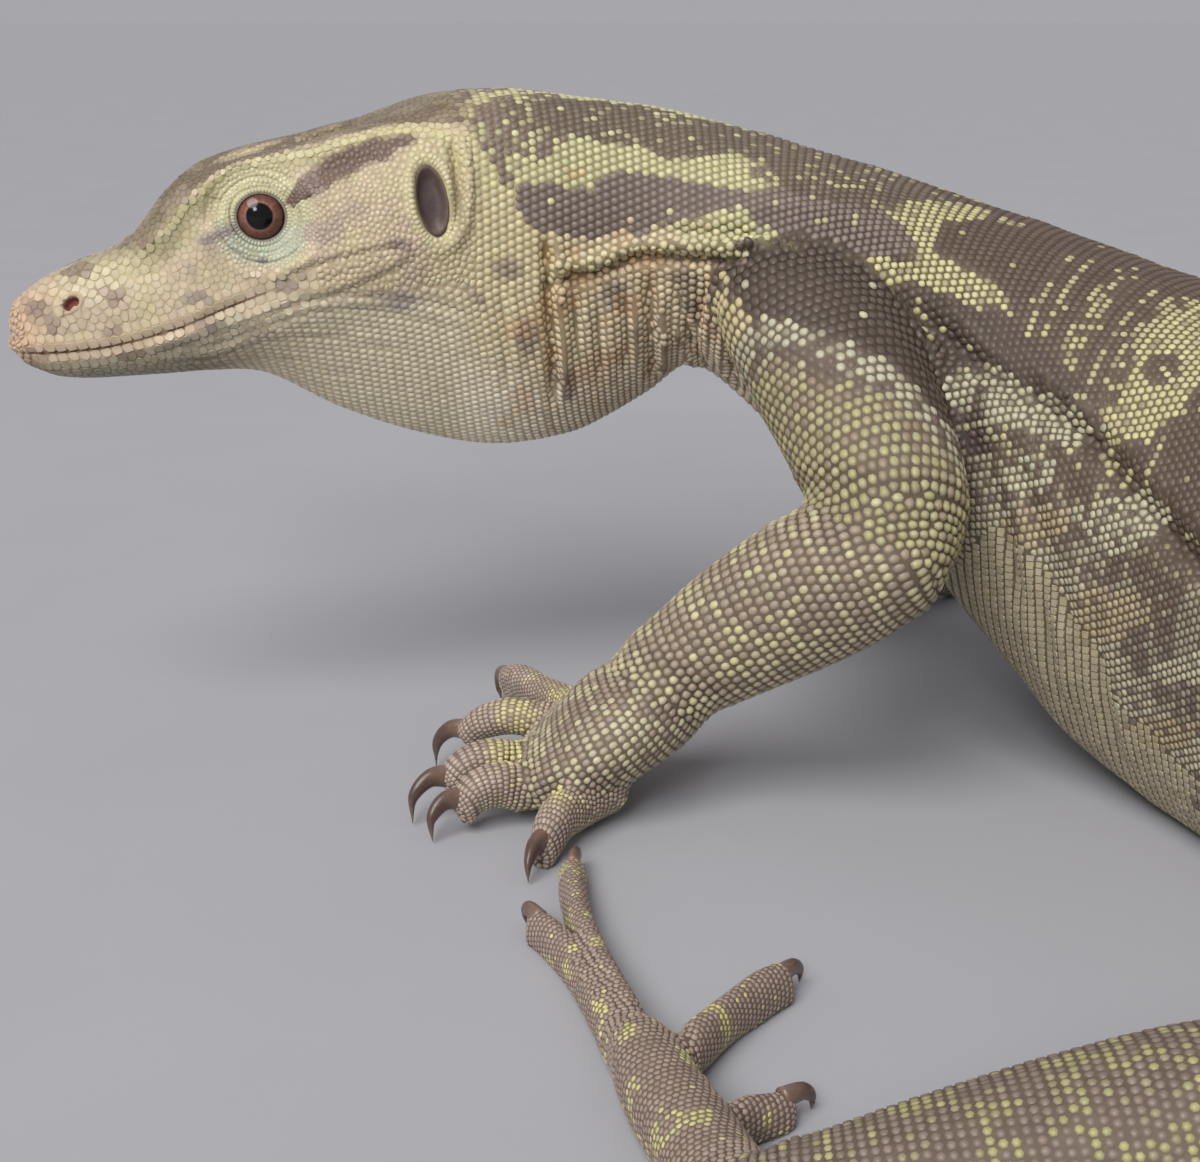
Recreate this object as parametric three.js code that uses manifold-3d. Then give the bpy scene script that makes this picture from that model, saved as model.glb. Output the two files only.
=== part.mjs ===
// Water monitor lizard, life size, head and forequarters raised, belly, hind legs and tail laid on the floor.
// Millimetres, +Z up. The body is one set of cross-sections on a curved spine line, the limbs are
// shorter lofts of the same kind, and neighbours are cut back by a grown copy to leave a gap.
import * as THREE from "three";
import { mergeVertices } from "three/addons/utils/BufferGeometryUtils.js";
import Module from "manifold-3d";

const wasm = await Module();
wasm.setup();

// ---------------------------------------------------------------- driving sizes
const GAP = 0.3; // between neighbouring solids
const SNOUT = { x: -135, y: 418, z: 95.1 }; // tip of the snout before the part is centred
const HEAD_END = 104; // head meets neck, along the spine from the snout tip
const NECK_END = 186; // neck meets chest
const CHEST_END = 325; // chest meets belly
const BELLY_END = 430; // belly meets hips
const HIPS_END = 548; // hips meet the tail, just behind the vent
const TAIL_CUTS = [680, 850, 1080]; // lengths of the tail
const TAIL_TIP = 1440; // whole length along the spine
const EYE = { s: 58, z: 27.6, x: 15.2, r: 6.8, slitS: 5.9, slitZ: 5.4, slitX: 21.6, bowl: 2.4 };
const EAR = { s: 94.8, z: 31.0, x: 28.2, halfS: 4.1, halfZ: 8.6, dip: 2.6, drumS: 3.0, drumZ: 6.8, drum: 0.5, sunk: 1.2 };
const NOSTRIL = { s: 15.9, z: 8.6, x: 11.6, halfS: 2.0, halfZ: 1.4, depth: 2.4 };
const BODY_AROUND = 20;
const TAIL_AROUND = 14;
const LIMB_AROUND = 10;
const PALM_AROUND = 10;
const DIGIT_AROUND = 6;
const CLAW_AROUND = 5;
const SOLE = { from: 3.6, to: 9 }; // undersides of hands and feet lower than `from` are laid on the floor
// Flatness kept when neighbouring facets are joined.
const FINE = { head: 0.16, lower: 0.14, ear: 0.05, eye: 0.05, finger: 0.1, toe: 0.1, hand: 0.2, foot: 0.2, rest: 0.2 };

// Which way the spine runs towards the tail, in degrees from +X, turning towards -Y, by length from the snout.
const HEADING = [
  [0, -12], [95, -12], [130, -7], [165, 1], [200, 13], [240, 27], [290, 46], [350, 70],
  [420, 92], [480, 103], [520, 107], [560, 106], [620, 96], [690, 66], [770, 30], [850, 4],
  [950, -12], [1080, -10], [1250, 6], [1400, 14], [1440, 16],
];

// Cross-sections: length from the snout, top of the back, shoulder of the back (half width, height),
// widest line (half width, height), lower edge (half width, height), underside. Heights over the floor.
const H = SNOUT.z;
const SECTIONS = [
  // snout, brows, temples
  [0.4, H + 3.0, 2.0, H + 2.3, 3.0, H + 0.2, 2.0, H - 2.0, H - 2.8],
  [3, H + 8.2, 4.2, H + 7.2, 6.4, H + 1.0, 4.4, H - 4.8, H - 6.4],
  [8, H + 12.2, 6.2, H + 11.0, 9.6, H + 2.0, 6.6, H - 6.6, H - 8.6],
  [16, H + 16.4, 8.0, H + 14.8, 12.2, H + 5.0, 9.2, H - 7.2, H - 9.8],
  [28, H + 21.2, 9.8, H + 19.4, 14.8, H + 8.0, 11.6, H - 6.4, H - 9.7],
  [37, H + 25.4, 14.2, H + 30.2, 17.2, H + 11.6, 13.8, H - 4.8, H - 9.5],
  [46, H + 29.6, 16.8, H + 37.2, 19.6, H + 15.5, 15.8, H - 3.0, H - 9.3],
  [58, H + 35.4, 18.0, H + 39.8, 22.2, H + 20.0, 19.0, H + 2.0, H - 10.6],
  [75, H + 43.6, 19.8, H + 43.2, 26.8, H + 25.5, 22.6, H + 6.0, H - 19.6],
  [95, H + 52.2, 20.0, H + 47.6, 28.6, H + 28.5, 24.0, H + 3.0, H - 27.0],
  // neck and throat
  [113, H + 54.0, 19.0, H + 48.6, 27.0, H + 26.5, 22.4, H - 5.0, H - 30.2],
  [132, 147.4, 19.2, 141.4, 26.6, 120.6, 20.6, 88.0, 68.0],
  [148, 145.0, 20.4, 138.0, 27.8, 117.0, 20.0, 91.5, 76.6],
  [159, 143.0, 22.4, 135.6, 30.4, 113.0, 21.6, 93.6, 83.6],
  // shoulders, chest
  [171, 139.8, 25.0, 131.6, 34.6, 108.0, 25.0, 86.6, 77.2],
  [187, 135.4, 28.4, 126.2, 40.0, 100.0, 28.6, 74.0, 62.0],
  [202, 131.2, 30.6, 121.0, 42.6, 93.0, 30.0, 63.0, 51.0],
  [222, 125.0, 33.4, 113.6, 46.6, 82.0, 33.0, 50.0, 38.0],
  [244, 118.6, 36.0, 106.0, 50.6, 70.0, 36.0, 33.0, 20.5],
  [267, 111.6, 38.2, 98.6, 53.6, 58.0, 38.0, 17.0, 5.6],
  // belly on the floor
  [290, 106.0, 39.6, 93.0, 55.0, 52.5, 39.6, 8.0, -0.6],
  [315, 102.8, 40.2, 89.6, 55.0, 50.0, 41.4, 4.0, -1.6],
  [345, 100.6, 40.2, 87.0, 54.8, 48.4, 43.0, 2.0, -1.6],
  [380, 99.0, 39.6, 85.0, 53.4, 47.0, 42.6, 1.8, -1.6],
  [430, 96.6, 37.6, 82.4, 49.6, 46.0, 39.0, 2.0, -1.6],
  // hips
  [480, 93.6, 33.6, 79.0, 43.0, 45.6, 33.0, 3.0, -1.0],
  [515, 89.6, 29.6, 75.4, 37.0, 45.0, 28.0, 5.0, 0.6],
  [545, 83.4, 25.4, 69.6, 32.0, 42.6, 25.0, 5.6, -0.6],
  // tail, higher than wide from its second third
  [580, 75.0, 20.0, 61.0, 28.0, 37.0, 22.0, 4.4, -1.2],
  [640, 63.6, 13.6, 52.0, 21.6, 31.0, 17.0, 3.4, -1.2],
  [720, 52.6, 9.4, 43.0, 16.0, 25.0, 13.0, 2.8, -1.0],
  [820, 44.6, 6.8, 36.0, 12.0, 20.6, 10.0, 2.4, -0.9],
  [950, 35.6, 4.8, 28.4, 9.0, 16.0, 7.6, 2.0, -0.8],
  [1100, 26.0, 3.4, 20.4, 6.4, 11.6, 5.4, 1.5, -0.6],
  [1260, 16.6, 2.2, 12.8, 4.2, 7.4, 3.6, 1.1, -0.4],
  [1380, 9.6, 1.5, 7.2, 2.7, 4.4, 2.3, 0.8, -0.3],
  [1440, 4.2, 0.9, 3.3, 1.4, 2.1, 1.2, 0.5, -0.2],
];

// Mouth line on the side of the head: length from the snout tip, height from the snout tip.
const MOUTH = [[-3, -3.4], [2.8, -3.2], [15.2, -2.7], [25, -1.2], [35.5, 2.1], [43.3, 5.2], [51.3, 7.9], [63.4, 14.3], [72.1, 17.8]];
const JAW_BACK = [[75, 14.5], [73.4, 1], [68.5, -12], [61, -26], [-3, -26]];

// Limbs: stations of x, y, z, half width across, half height; then digits with claws.
const LEFT_ARM = {
  upper: [[43, 426, 112, 16, 11], [46, 415, 103, 21, 16], [51.5, 402, 92, 20.5, 18], [55.8, 388.5, 82, 18.8, 17], [59, 376, 73, 17.2, 16.2], [60.6, 367, 65.8, 15.8, 14.6], [61.4, 362.8, 61.6, 13.4, 12.2]],
  lower: [[66, 361.6, 63.4, 10, 10.6], [62, 362, 61.8, 13.2, 13.6], [52, 365, 56.2, 14.6, 16.2], [41, 368, 49, 14, 16.2], [29.6, 371, 41, 12.8, 14.8], [19.3, 373.6, 33, 12.2, 12.8], [12.5, 374.6, 27.4, 12.4, 12]],
  palm: [[17, 373.4, 29, 11.6, 11], [10, 373, 23.6, 15.4, 12], [1.6, 372.4, 18, 18.6, 11.4], [-5.6, 372.4, 13.2, 19, 9.4], [-11.5, 372.8, 10, 17.4, 7.2], [-15, 373, 8.2, 13, 5]],
  digits: [
    { path: [[3, 386, 17.5, 5.4], [-4, 400, 12.6, 4.5], [-12, 414, 10.4, 4], [-19, 425.5, 10, 3.9], [-22.4, 431, 8.4, 3.3]], claw: [[-22.4, 431, 8.8, 2.5], [-24.6, 434.6, 7.8, 2], [-25.4, 436.6, 4.2, 1.3], [-24.8, 436.6, 0.5, 0.4]] },
    { path: [[-5, 384, 15, 5.4], [-13, 386, 14.6, 4.6], [-20, 387.4, 15, 4.6], [-26, 388.8, 13, 4.2], [-29.4, 389.6, 10.4, 3.5]], claw: [[-29.2, 389.6, 10.8, 2.6], [-33.8, 391, 10.4, 2], [-37, 392, 6.6, 1.4], [-37.4, 392.2, 1, 0.4]] },
    { path: [[-7, 374, 12, 5.4], [-15.6, 371.6, 11, 4.6], [-23.4, 369.4, 12.4, 4.6], [-28.8, 367.6, 11.4, 4.2], [-31.6, 366.4, 9, 3.5]], claw: [[-31.4, 366.6, 9.4, 2.7], [-36.2, 364.6, 9.6, 2.1], [-39.6, 362.4, 6.2, 1.5], [-39.8, 361, 0.9, 0.45]] },
    { path: [[-6, 366, 10, 5.4], [-13.6, 363.4, 9, 4.6], [-21, 361.2, 10.4, 4.6], [-26, 359.4, 9.6, 4.2], [-28.4, 358, 7.6, 3.5]], claw: [[-28.2, 358.2, 8, 2.7], [-32.4, 355.8, 8.2, 2.1], [-35, 353.4, 5.2, 1.5], [-34.8, 352.2, 0.8, 0.45]] },
    { path: [[2, 363, 9.6, 5], [-3.4, 357.4, 8.6, 4.4], [-8, 350.4, 8.4, 4.3], [-10.4, 344.8, 7, 3.9], [-11.6, 341.8, 5.6, 3.3]], claw: [[-11.6, 342, 6.2, 2.5], [-13.2, 337.8, 6.2, 2], [-14.2, 334.4, 4, 1.3], [-14.2, 333.2, 0.7, 0.4]] },
  ],
};
const RIGHT_ARM = {
  upper: [[66, 455, 112, 16, 11], [71, 465, 103, 21, 16], [82, 476, 92, 20, 17], [94, 487, 79, 18, 16], [104, 496, 68, 16.4, 15.4], [110, 501, 60.5, 14.6, 14], [113, 503, 57, 12, 11.4]],
  lower: [[118, 506, 60, 10, 11], [113, 504, 56.5, 13.4, 14.4], [103, 500.5, 47.5, 13.6, 14.8], [93, 497.5, 38, 12.2, 13.4], [84, 495.4, 29.4, 11, 11.4], [78, 494.6, 23.4, 10.6, 10]],
  palm: [[79, 491, 25.4, 9, 9], [76.6, 497, 20, 11.6, 9.4], [75.4, 505, 14.4, 14.4, 8.6], [75, 513, 10.4, 15.2, 7], [75, 519.6, 8, 14.6, 5.8], [75, 523, 7, 11.4, 4.4]],
  digits: [
    { path: [[66, 505, 12.6, 4.8], [56, 509, 9, 4.1], [47, 512.6, 8, 3.6], [42, 514.6, 6.4, 3]], claw: [[42.2, 514.6, 6.6, 2.2], [38, 516.4, 6, 1.7], [35.6, 517.2, 3.4, 1.2], [35.2, 517.4, 0.6, 0.4]] },
    { path: [[66, 515, 10, 4.8], [60, 523, 9, 4.1], [55, 530.5, 9, 4], [51.6, 535.6, 6.6, 3.2]], claw: [[51.8, 535.4, 7, 2.4], [49, 539.4, 7, 1.8], [47, 542.4, 4, 1.3], [46.6, 543, 0.6, 0.4]] },
    { path: [[72, 518, 9, 4.9], [70, 528.5, 8.6, 4.2], [68.4, 538, 9.2, 4.1], [67.6, 544.6, 6.6, 3.3]], claw: [[67.6, 544.4, 7, 2.4], [67, 549.4, 7, 1.9], [66.6, 552.8, 4.2, 1.3], [66.6, 553.4, 0.6, 0.4]] },
    { path: [[79, 518, 9, 4.9], [82, 528.5, 8.6, 4.2], [85, 538, 9.2, 4.1], [87, 544.6, 6.6, 3.3]], claw: [[87, 544.4, 7, 2.4], [88.6, 549.4, 7, 1.9], [89.6, 552.8, 4.2, 1.3], [89.8, 553.4, 0.6, 0.4]] },
    { path: [[84, 512, 9, 4.7], [93, 517.5, 8, 4], [100, 521.6, 7.6, 3.8], [105, 524.6, 5.6, 3]], claw: [[104.8, 524.4, 6, 2.3], [109, 526.6, 6, 1.8], [111.6, 528, 3.6, 1.2], [112, 528.2, 0.6, 0.4]] },
  ],
};
const LEFT_LEG = {
  upper: [[170, 172, 56, 18, 16], [160, 176, 54, 22, 21], [144, 183, 49, 22, 22], [127, 190.5, 43, 20, 21], [110, 198, 36.4, 18, 18.6], [98, 203, 31.6, 16, 16.2], [91, 205.6, 29.4, 13, 13]],
  lower: [[97, 205.4, 30, 11, 12], [91, 205.6, 28.6, 14.6, 15.4], [78, 206.4, 26, 15.6, 16], [62, 207, 22.4, 14.6, 14.8], [46, 207.4, 18.6, 12.8, 13], [33, 207.8, 15.4, 11, 11.2], [24, 208.4, 13.6, 9.8, 9.8]],
  palm: [[21, 203, 12.8, 8, 8.8], [20, 209, 11.64, 8.46, 8.64], [16.8, 222, 9.8, 7.64, 7.2], [13.4, 236, 8.56, 7.14, 6.36], [9.6, 249, 7.71, 6.72, 5.71], [7, 260, 7.21, 6.07, 5.21], [5.4, 266, 7, 4.9, 4.4]],
  digits: [
    { path: [[13, 236, 7.46, 3.46], [18.4, 241.4, 6.8, 3.1], [23, 246, 5.82, 3.02], [26.6, 249, 4.82, 3.12], [28.2, 250.4, 4.64, 3.04]], claw: [[28, 250.2, 4.9, 1.95], [31.4, 252.6, 4.7, 1.53], [33.2, 254, 2.8, 1.02], [33.2, 254.2, 0.6, 0.4]] },
    { path: [[10, 255, 6.94, 3.74], [15.6, 265, 6.68, 3.38], [21.4, 275, 6.17, 3.17], [27.4, 283.6, 5.52, 3.52], [31, 288, 5.02, 3.52]], claw: [[30.8, 287.8, 5.1, 2.04], [33.8, 291.6, 4.9, 1.61], [35.4, 293.8, 3, 1.1], [35.4, 294.2, 0.6, 0.4]] },
    { path: [[4.6, 260, 6.6, 3.6], [0, 278, 6.2, 3.1], [-4.4, 294, 5.45, 2.95], [-8.6, 304.4, 5.2, 3.2], [-11.2, 309.6, 4.73, 3.23]], claw: [[-11, 309.4, 4.9, 2.04], [-13.2, 313.6, 4.9, 1.61], [-14.2, 316.2, 3, 1.02], [-14, 316.6, 0.6, 0.4]] },
    { path: [[7.8, 257, 6.69, 3.89], [4, 274, 6.66, 3.46], [0, 291, 6.11, 3.31], [-3.2, 307, 5.8, 3.1], [-5, 322, 5.38, 3.28], [-5.4, 332.6, 4.73, 3.23]], claw: [[-5.4, 332.2, 4.9, 2.04], [-5, 337.4, 4.9, 1.61], [-4.4, 340.8, 3, 1.1], [-4.2, 341.4, 0.6, 0.4]] },
    { path: [[11, 214, 7.71, 3.31], [1.6, 212, 6.28, 2.88], [-7, 211.6, 5.26, 2.96], [-14.6, 213.6, 4.64, 2.94]], claw: [[-14.2, 213.4, 4.9, 1.87], [-18.6, 215.4, 4.7, 1.44], [-21.2, 216.8, 2.8, 1.02], [-21.6, 217.2, 0.6, 0.4]] },
  ],
};
const RIGHT_LEG = {
  upper: [[178, 164, 56, 18, 16], [188, 165, 54, 22, 21], [204, 169, 50, 22, 22], [222, 173.6, 46, 20, 20.6], [241, 178, 41, 18, 18.2], [256, 181.4, 37, 16, 16], [264, 183, 34.6, 13, 13]],
  lower: [[266, 189, 36, 11, 12], [267, 183.6, 33.6, 14, 15], [270, 173, 29.6, 14.6, 15.2], [275, 159, 24.4, 13.2, 13.4], [280, 145, 19.4, 11.2, 11.4], [284, 133, 15.4, 10, 10], [286.4, 126, 13.4, 9.4, 9.2]],
  palm: [[284, 121.6, 12.6, 8, 8.6], [288.4, 124.6, 11.64, 9.2, 8.64], [300, 132, 9.8, 8.96, 7.2], [312, 139.4, 8.39, 8.66, 6.19], [323, 146, 7.58, 7.7, 5.38], [331, 151, 7.1, 6.49, 4.7], [335, 153.6, 6.85, 4.9, 4.05]],
  digits: [
    { path: [[316, 151, 7.31, 3.31], [317.4, 160.6, 6.31, 2.81], [319, 168, 5.68, 2.88], [320.4, 173, 5.04, 2.94]], claw: [[320.4, 172.8, 5.3, 1.87], [321.4, 177.6, 5.1, 1.44], [322, 180.6, 3, 1.02], [322.2, 181, 0.6, 0.4]] },
    { path: [[327, 154, 6.8, 3.6], [333, 165, 6.4, 3.1], [338.6, 175.6, 5.88, 2.88], [343, 184.4, 5.06, 2.96], [345, 188.6, 4.64, 2.94]], claw: [[345, 188.4, 4.9, 1.95], [347.2, 193.4, 4.9, 1.53], [348.6, 196.6, 3, 1.02], [348.8, 197.2, 0.6, 0.4]] },
    { path: [[331, 151, 6.6, 3.6], [343, 158.6, 6.22, 3.02], [354.6, 166, 5.48, 2.88], [365, 172.8, 5.24, 3.04], [371, 177, 4.64, 3.04]], claw: [[370.8, 176.8, 4.9, 1.95], [375, 179.8, 4.9, 1.53], [377.8, 181.6, 3, 1.02], [378.4, 182, 0.6, 0.4]] },
    { path: [[331, 147, 6.54, 3.74], [345, 150.6, 6.37, 3.17], [359, 153.8, 5.82, 3.02], [373, 156.6, 5.48, 2.88], [385, 159.6, 5.24, 3.04], [393, 162, 4.64, 3.04]], claw: [[392.8, 161.8, 4.9, 2.04], [398, 163.6, 4.9, 1.61], [401.4, 164.8, 3.2, 1.1], [402.2, 165.2, 0.6, 0.4]] },
    { path: [[291, 123, 7.71, 3.31], [298, 116.6, 6.28, 2.88], [305, 111, 5.26, 2.96], [312.4, 107.6, 4.64, 2.94]], claw: [[312, 107.8, 4.9, 1.87], [316.8, 106, 4.7, 1.44], [319.6, 105, 2.8, 1.02], [320, 104.8, 0.6, 0.4]] },
  ],
};

// ---------------------------------------------------------------- interpolation
// Cubic through the rows of a table (first column the position), slopes from the neighbours.
function through(rows, at) {
  const n = rows.length;
  const x = Math.min(Math.max(at, rows[0][0]), rows[n - 1][0]);
  let i = 0;
  while (i < n - 2 && x > rows[i + 1][0]) i++;
  const slope = (k, c) => {
    const a = rows[Math.max(k - 1, 0)];
    const b = rows[Math.min(k + 1, n - 1)];
    return (b[c] - a[c]) / (b[0] - a[0]);
  };
  const h = rows[i + 1][0] - rows[i][0];
  const t = (x - rows[i][0]) / h;
  const out = [];
  for (let c = 1; c < rows[0].length; c++)
    out.push(
      (2 * t ** 3 - 3 * t ** 2 + 1) * rows[i][c] +
        (t ** 3 - 2 * t ** 2 + t) * h * slope(i, c) +
        (-2 * t ** 3 + 3 * t ** 2) * rows[i + 1][c] +
        (t ** 3 - t ** 2) * h * slope(i + 1, c),
    );
  return out;
}

// Spine line in plan, one point a millimetre.
const SPINE = [];
{
  let x = SNOUT.x;
  let y = SNOUT.y;
  let before = THREE.MathUtils.degToRad(through(HEADING, 0)[0]);
  for (let s = 0; s <= TAIL_TIP; s++) {
    const a = THREE.MathUtils.degToRad(through(HEADING, s)[0]);
    if (s > 0) {
      x += (Math.cos(a) + Math.cos(before)) / 2;
      y -= (Math.sin(a) + Math.sin(before)) / 2;
    }
    SPINE.push([s, x, y, a]);
    before = a;
  }
}
function spineAt(s) {
  const c = Math.min(Math.max(s, 0), TAIL_TIP);
  const i = Math.min(Math.floor(c), TAIL_TIP - 1);
  const f = c - i;
  const [a, b] = [SPINE[i], SPINE[i + 1]];
  return { x: a[1] + (b[1] - a[1]) * f, y: a[2] + (b[2] - a[2]) * f, heading: a[3] + (b[3] - a[3]) * f };
}
// Point at length s, sideways to the animal's left, height z.
function onSpine(s, left, z) {
  const p = spineAt(s);
  return new THREE.Vector3(p.x - Math.sin(p.heading) * left, p.y - Math.cos(p.heading) * left, z);
}
function sectionCurve(s, grow) {
  const [zT, xB, zB, xS, zS, xJ, zJ, zG] = through(SECTIONS, s);
  const mid = (zT + zG) / 2;
  const out = (x, z) => {
    const l = Math.hypot(x, z - mid);
    return new THREE.Vector3(x + (x / l) * grow, z + ((z - mid) / l) * grow, 0);
  };
  const ring = [out(0, zT), out(xB, zB), out(xS, zS), out(xJ, zJ), out(0, zG), out(-xJ, zJ), out(-xS, zS), out(-xB, zB)];
  return new THREE.CatmullRomCurve3(ring, true, "catmullrom", 0.5);
}

// ---------------------------------------------------------------- solids
function solid(geometry) {
  const g = geometry.clone();
  g.deleteAttribute("normal");
  g.deleteAttribute("uv");
  const m = mergeVertices(g, 1e-4);
  const make = (idx) =>
    new wasm.Manifold(new wasm.Mesh({ numProp: 3, vertProperties: new Float32Array(m.attributes.position.array), triVerts: new Uint32Array(idx) }));
  const made = make(m.index.array);
  if (made.volume() > 0) return made;
  const turned = Array.from(m.index.array);
  for (let i = 0; i < turned.length; i += 3) [turned[i], turned[i + 1]] = [turned[i + 1], turned[i]];
  return make(turned);
}
function largest(m) {
  return m.decompose().sort((a, b) => b.volume() - a.volume())[0];
}
// A sphere's rows become the rings of a loft, its poles the middles of the two ends.
function loft(around, rings, place) {
  const g = new THREE.SphereGeometry(1, around, rings + 1);
  const pos = g.attributes.position;
  for (let r = 0; r <= rings + 1; r++)
    for (let k = 0; k <= around; k++) {
      const p = place(r, (k % around) / around);
      pos.setXYZ(r * (around + 1) + k, p.x, p.y, p.z);
    }
  return solid(g);
}
function spacing(from, to, count) {
  return Array.from({ length: count }, (_, i) => from + ((to - from) * i) / (count - 1));
}
// Length of body between two places on the spine, flat ends; places are listed or spaced evenly.
function bodyLength(places, around, { grow = 0, tip = false } = {}) {
  const n = places.length;
  const curves = places.map((s) => sectionCurve(s, grow));
  const floor = grow > 0 ? -1 : 0;
  const put = (s, c, u) => {
    const q = c.getPoint(u);
    return onSpine(s, q.x, Math.max(q.y, floor));
  };
  const middle = (s) => {
    const v = through(SECTIONS, s);
    return onSpine(s, 0, Math.max((v[0] + v[7]) / 2, 0.4));
  };
  return loft(around, n, (r, u) => {
    if (r === 0) return middle(places[0] - (tip ? 0.5 : 0));
    if (r === n + 1) return middle(places[n - 1]);
    return put(places[r - 1], curves[r - 1], u);
  });
}
// Loft along a free line: stations of x, y, z, half width, half height (or one radius), with rounded ends.
function limbLength(stations, around, rings, { grow = 0, round = 0.7, sole = false } = {}) {
  const rows = stations.map((q, i) => [i, q[0], q[1], q[2], q[3] + grow, (q.length > 4 ? q[4] : q[3]) + grow]);
  const last = stations.length - 1;
  const at = (i) => through(rows, i);
  const floor = grow > 0 ? -1 : 0;
  const frames = spacing(0, last, rings).map((i) => {
    const [x, y, z, w, h] = at(i);
    const a = at(Math.max(i - 0.05, 0));
    const b = at(Math.min(i + 0.05, last));
    const along = new THREE.Vector3(b[0] - a[0], b[1] - a[1], b[2] - a[2]).normalize();
    const across = new THREE.Vector3(along.y, -along.x, 0).normalize();
    const up = new THREE.Vector3().crossVectors(across, along).normalize();
    return { c: new THREE.Vector3(x, y, z), along, across, up, w, h };
  });
  const first = frames[0];
  const end = frames[rings - 1];
  const bulge = (f, way, k, m) => ({ ...f, c: f.c.clone().addScaledVector(f.along, way * k * Math.min(f.w, f.h)), w: f.w * m, h: f.h * m });
  const all = [bulge(first, -1, round * 0.7, 0.72), ...frames, bulge(end, 1, round * 0.7, 0.72)];
  const tipA = bulge(first, -1, round, 0);
  const tipB = bulge(end, 1, round, 0);
  const n = all.length;
  return loft(around, n, (r, u) => {
    const f = r === 0 ? tipA : r === n + 1 ? tipB : all[r - 1];
    const t = u * Math.PI * 2;
    const p = f.c.clone().addScaledVector(f.across, Math.cos(t) * f.w).addScaledVector(f.up, Math.sin(t) * f.h);
    if (sole && p.z < SOLE.to) p.z = ((p.z - SOLE.from) * SOLE.to) / (SOLE.to - SOLE.from);
    p.z = Math.max(p.z, floor);
    return p;
  });
}
// Ellipsoid on the head: middle by length, side and height, half sizes along the head, sideways, up.
function headBall({ s, x, z }, hs, hx, hz, around, rings) {
  const g = new THREE.SphereGeometry(1, around, rings);
  g.applyMatrix4(
    new THREE.Matrix4().compose(
      onSpine(s, x, H + z),
      new THREE.Quaternion().setFromAxisAngle(new THREE.Vector3(0, 0, 1), -spineAt(s).heading),
      new THREE.Vector3(hs, hx, hz),
    ),
  );
  return solid(g);
}
// Block of the head below a line drawn on its side, straight through from side to side.
function headPrism(outline, lift) {
  const shape = new THREE.Shape(outline.map(([s, z]) => new THREE.Vector2(s, z + lift)));
  const g = new THREE.ExtrudeGeometry(shape, { depth: 90, bevelEnabled: false, steps: 1 });
  // drawn in length and height, extruded sideways: turn it up and about the head
  const heading = spineAt(10).heading;
  g.translate(0, 0, -45);
  g.rotateX(Math.PI / 2);
  g.rotateZ(-heading);
  g.translate(SNOUT.x, SNOUT.y, H);
  return solid(g);
}

// ---------------------------------------------------------------- body
const nodes = [];
const add = (name, m, colour, roughness = 0.75, metalness = 0) => nodes.push({ name, m, colour, roughness, metalness });

const headPlaces = [0.4, 2, 4.5, 8, 12.5, 18, 24, 30, 36, 41, 46, 52, 58, 64, 70, 78, 87, 95.5, HEAD_END - GAP / 2];
const headWhole = bodyLength(headPlaces, BODY_AROUND + 4, { tip: true });
const jawBlock = headPrism([...MOUTH, ...JAW_BACK], 0);
const jawBlockGrown = headPrism([...MOUTH.map(([s, z]) => [s, z + GAP]), [75.6, 15], ...JAW_BACK.slice(1).map(([s, z]) => [s + GAP, z])], 0);
let head = headWhole.subtract(jawBlockGrown);
const lowerJaw = largest(headWhole.intersect(jawBlock));
for (const [side, way] of [["l", 1], ["r", -1]]) {
  const eyeAt = { s: EYE.s, x: EYE.x * way, z: EYE.z };
  head = head
    .subtract(headBall({ s: EYE.s, x: EYE.slitX * way, z: EYE.z }, EYE.slitS, EYE.bowl, EYE.slitZ, 10, 6))
    .subtract(headBall(eyeAt, EYE.r + 2 * GAP, EYE.r + 2 * GAP, EYE.r + 2 * GAP, 10, 6));
  add("eye_" + side, headBall(eyeAt, EYE.r, EYE.r, EYE.r, 12, 8), 0x6b2f1c, 0.12);
  const drumAt = { s: EAR.s, x: (EAR.x - EAR.sunk) * way, z: EAR.z };
  head = head
    .subtract(headBall({ s: EAR.s, x: EAR.x * way, z: EAR.z }, EAR.halfS, EAR.dip, EAR.halfZ, 12, 6))
    .subtract(headBall({ s: NOSTRIL.s, x: NOSTRIL.x * way, z: NOSTRIL.z }, NOSTRIL.halfS, NOSTRIL.depth, NOSTRIL.halfZ, 7, 4));
  add("ear_" + side, headBall(drumAt, EAR.drumS, EAR.drum, EAR.drumZ, 10, 5), 0x5d5250, 0.6);
}
head = largest(head);
add("head", head, 0xcbb983);
add("lower_jaw", lowerJaw, 0xd6c79a);

const g2 = GAP / 2;
const lengths = [
  ["neck", HEAD_END, NECK_END, 11, BODY_AROUND, 0xbfae74],
  ["chest", NECK_END, CHEST_END, 13, BODY_AROUND, 0x8e7a5f],
  ["belly", CHEST_END, BELLY_END, 8, BODY_AROUND, 0x8a755b],
  ["hips", BELLY_END, HIPS_END, 9, BODY_AROUND, 0x8a755b],
  ["tail_1", HIPS_END, TAIL_CUTS[0], 9, TAIL_AROUND, 0x84705a],
  ["tail_2", TAIL_CUTS[0], TAIL_CUTS[1], 10, TAIL_AROUND, 0x84705a],
  ["tail_3", TAIL_CUTS[1], TAIL_CUTS[2], 9, TAIL_AROUND, 0x9a8760],
  ["tail_4", TAIL_CUTS[2], TAIL_TIP, 11, TAIL_AROUND, 0x84705a],
];
for (const [name, from, to, count, around, colour] of lengths) {
  const end = to === TAIL_TIP ? TAIL_TIP : to - g2;
  add(name, bodyLength(spacing(from + g2, end, count), around), colour);
}
const foreGrown = bodyLength(spacing(140, 310, 16), BODY_AROUND, { grow: 0.6 });
const hindGrown = bodyLength(spacing(410, 620, 18), BODY_AROUND, { grow: 0.6 });

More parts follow.
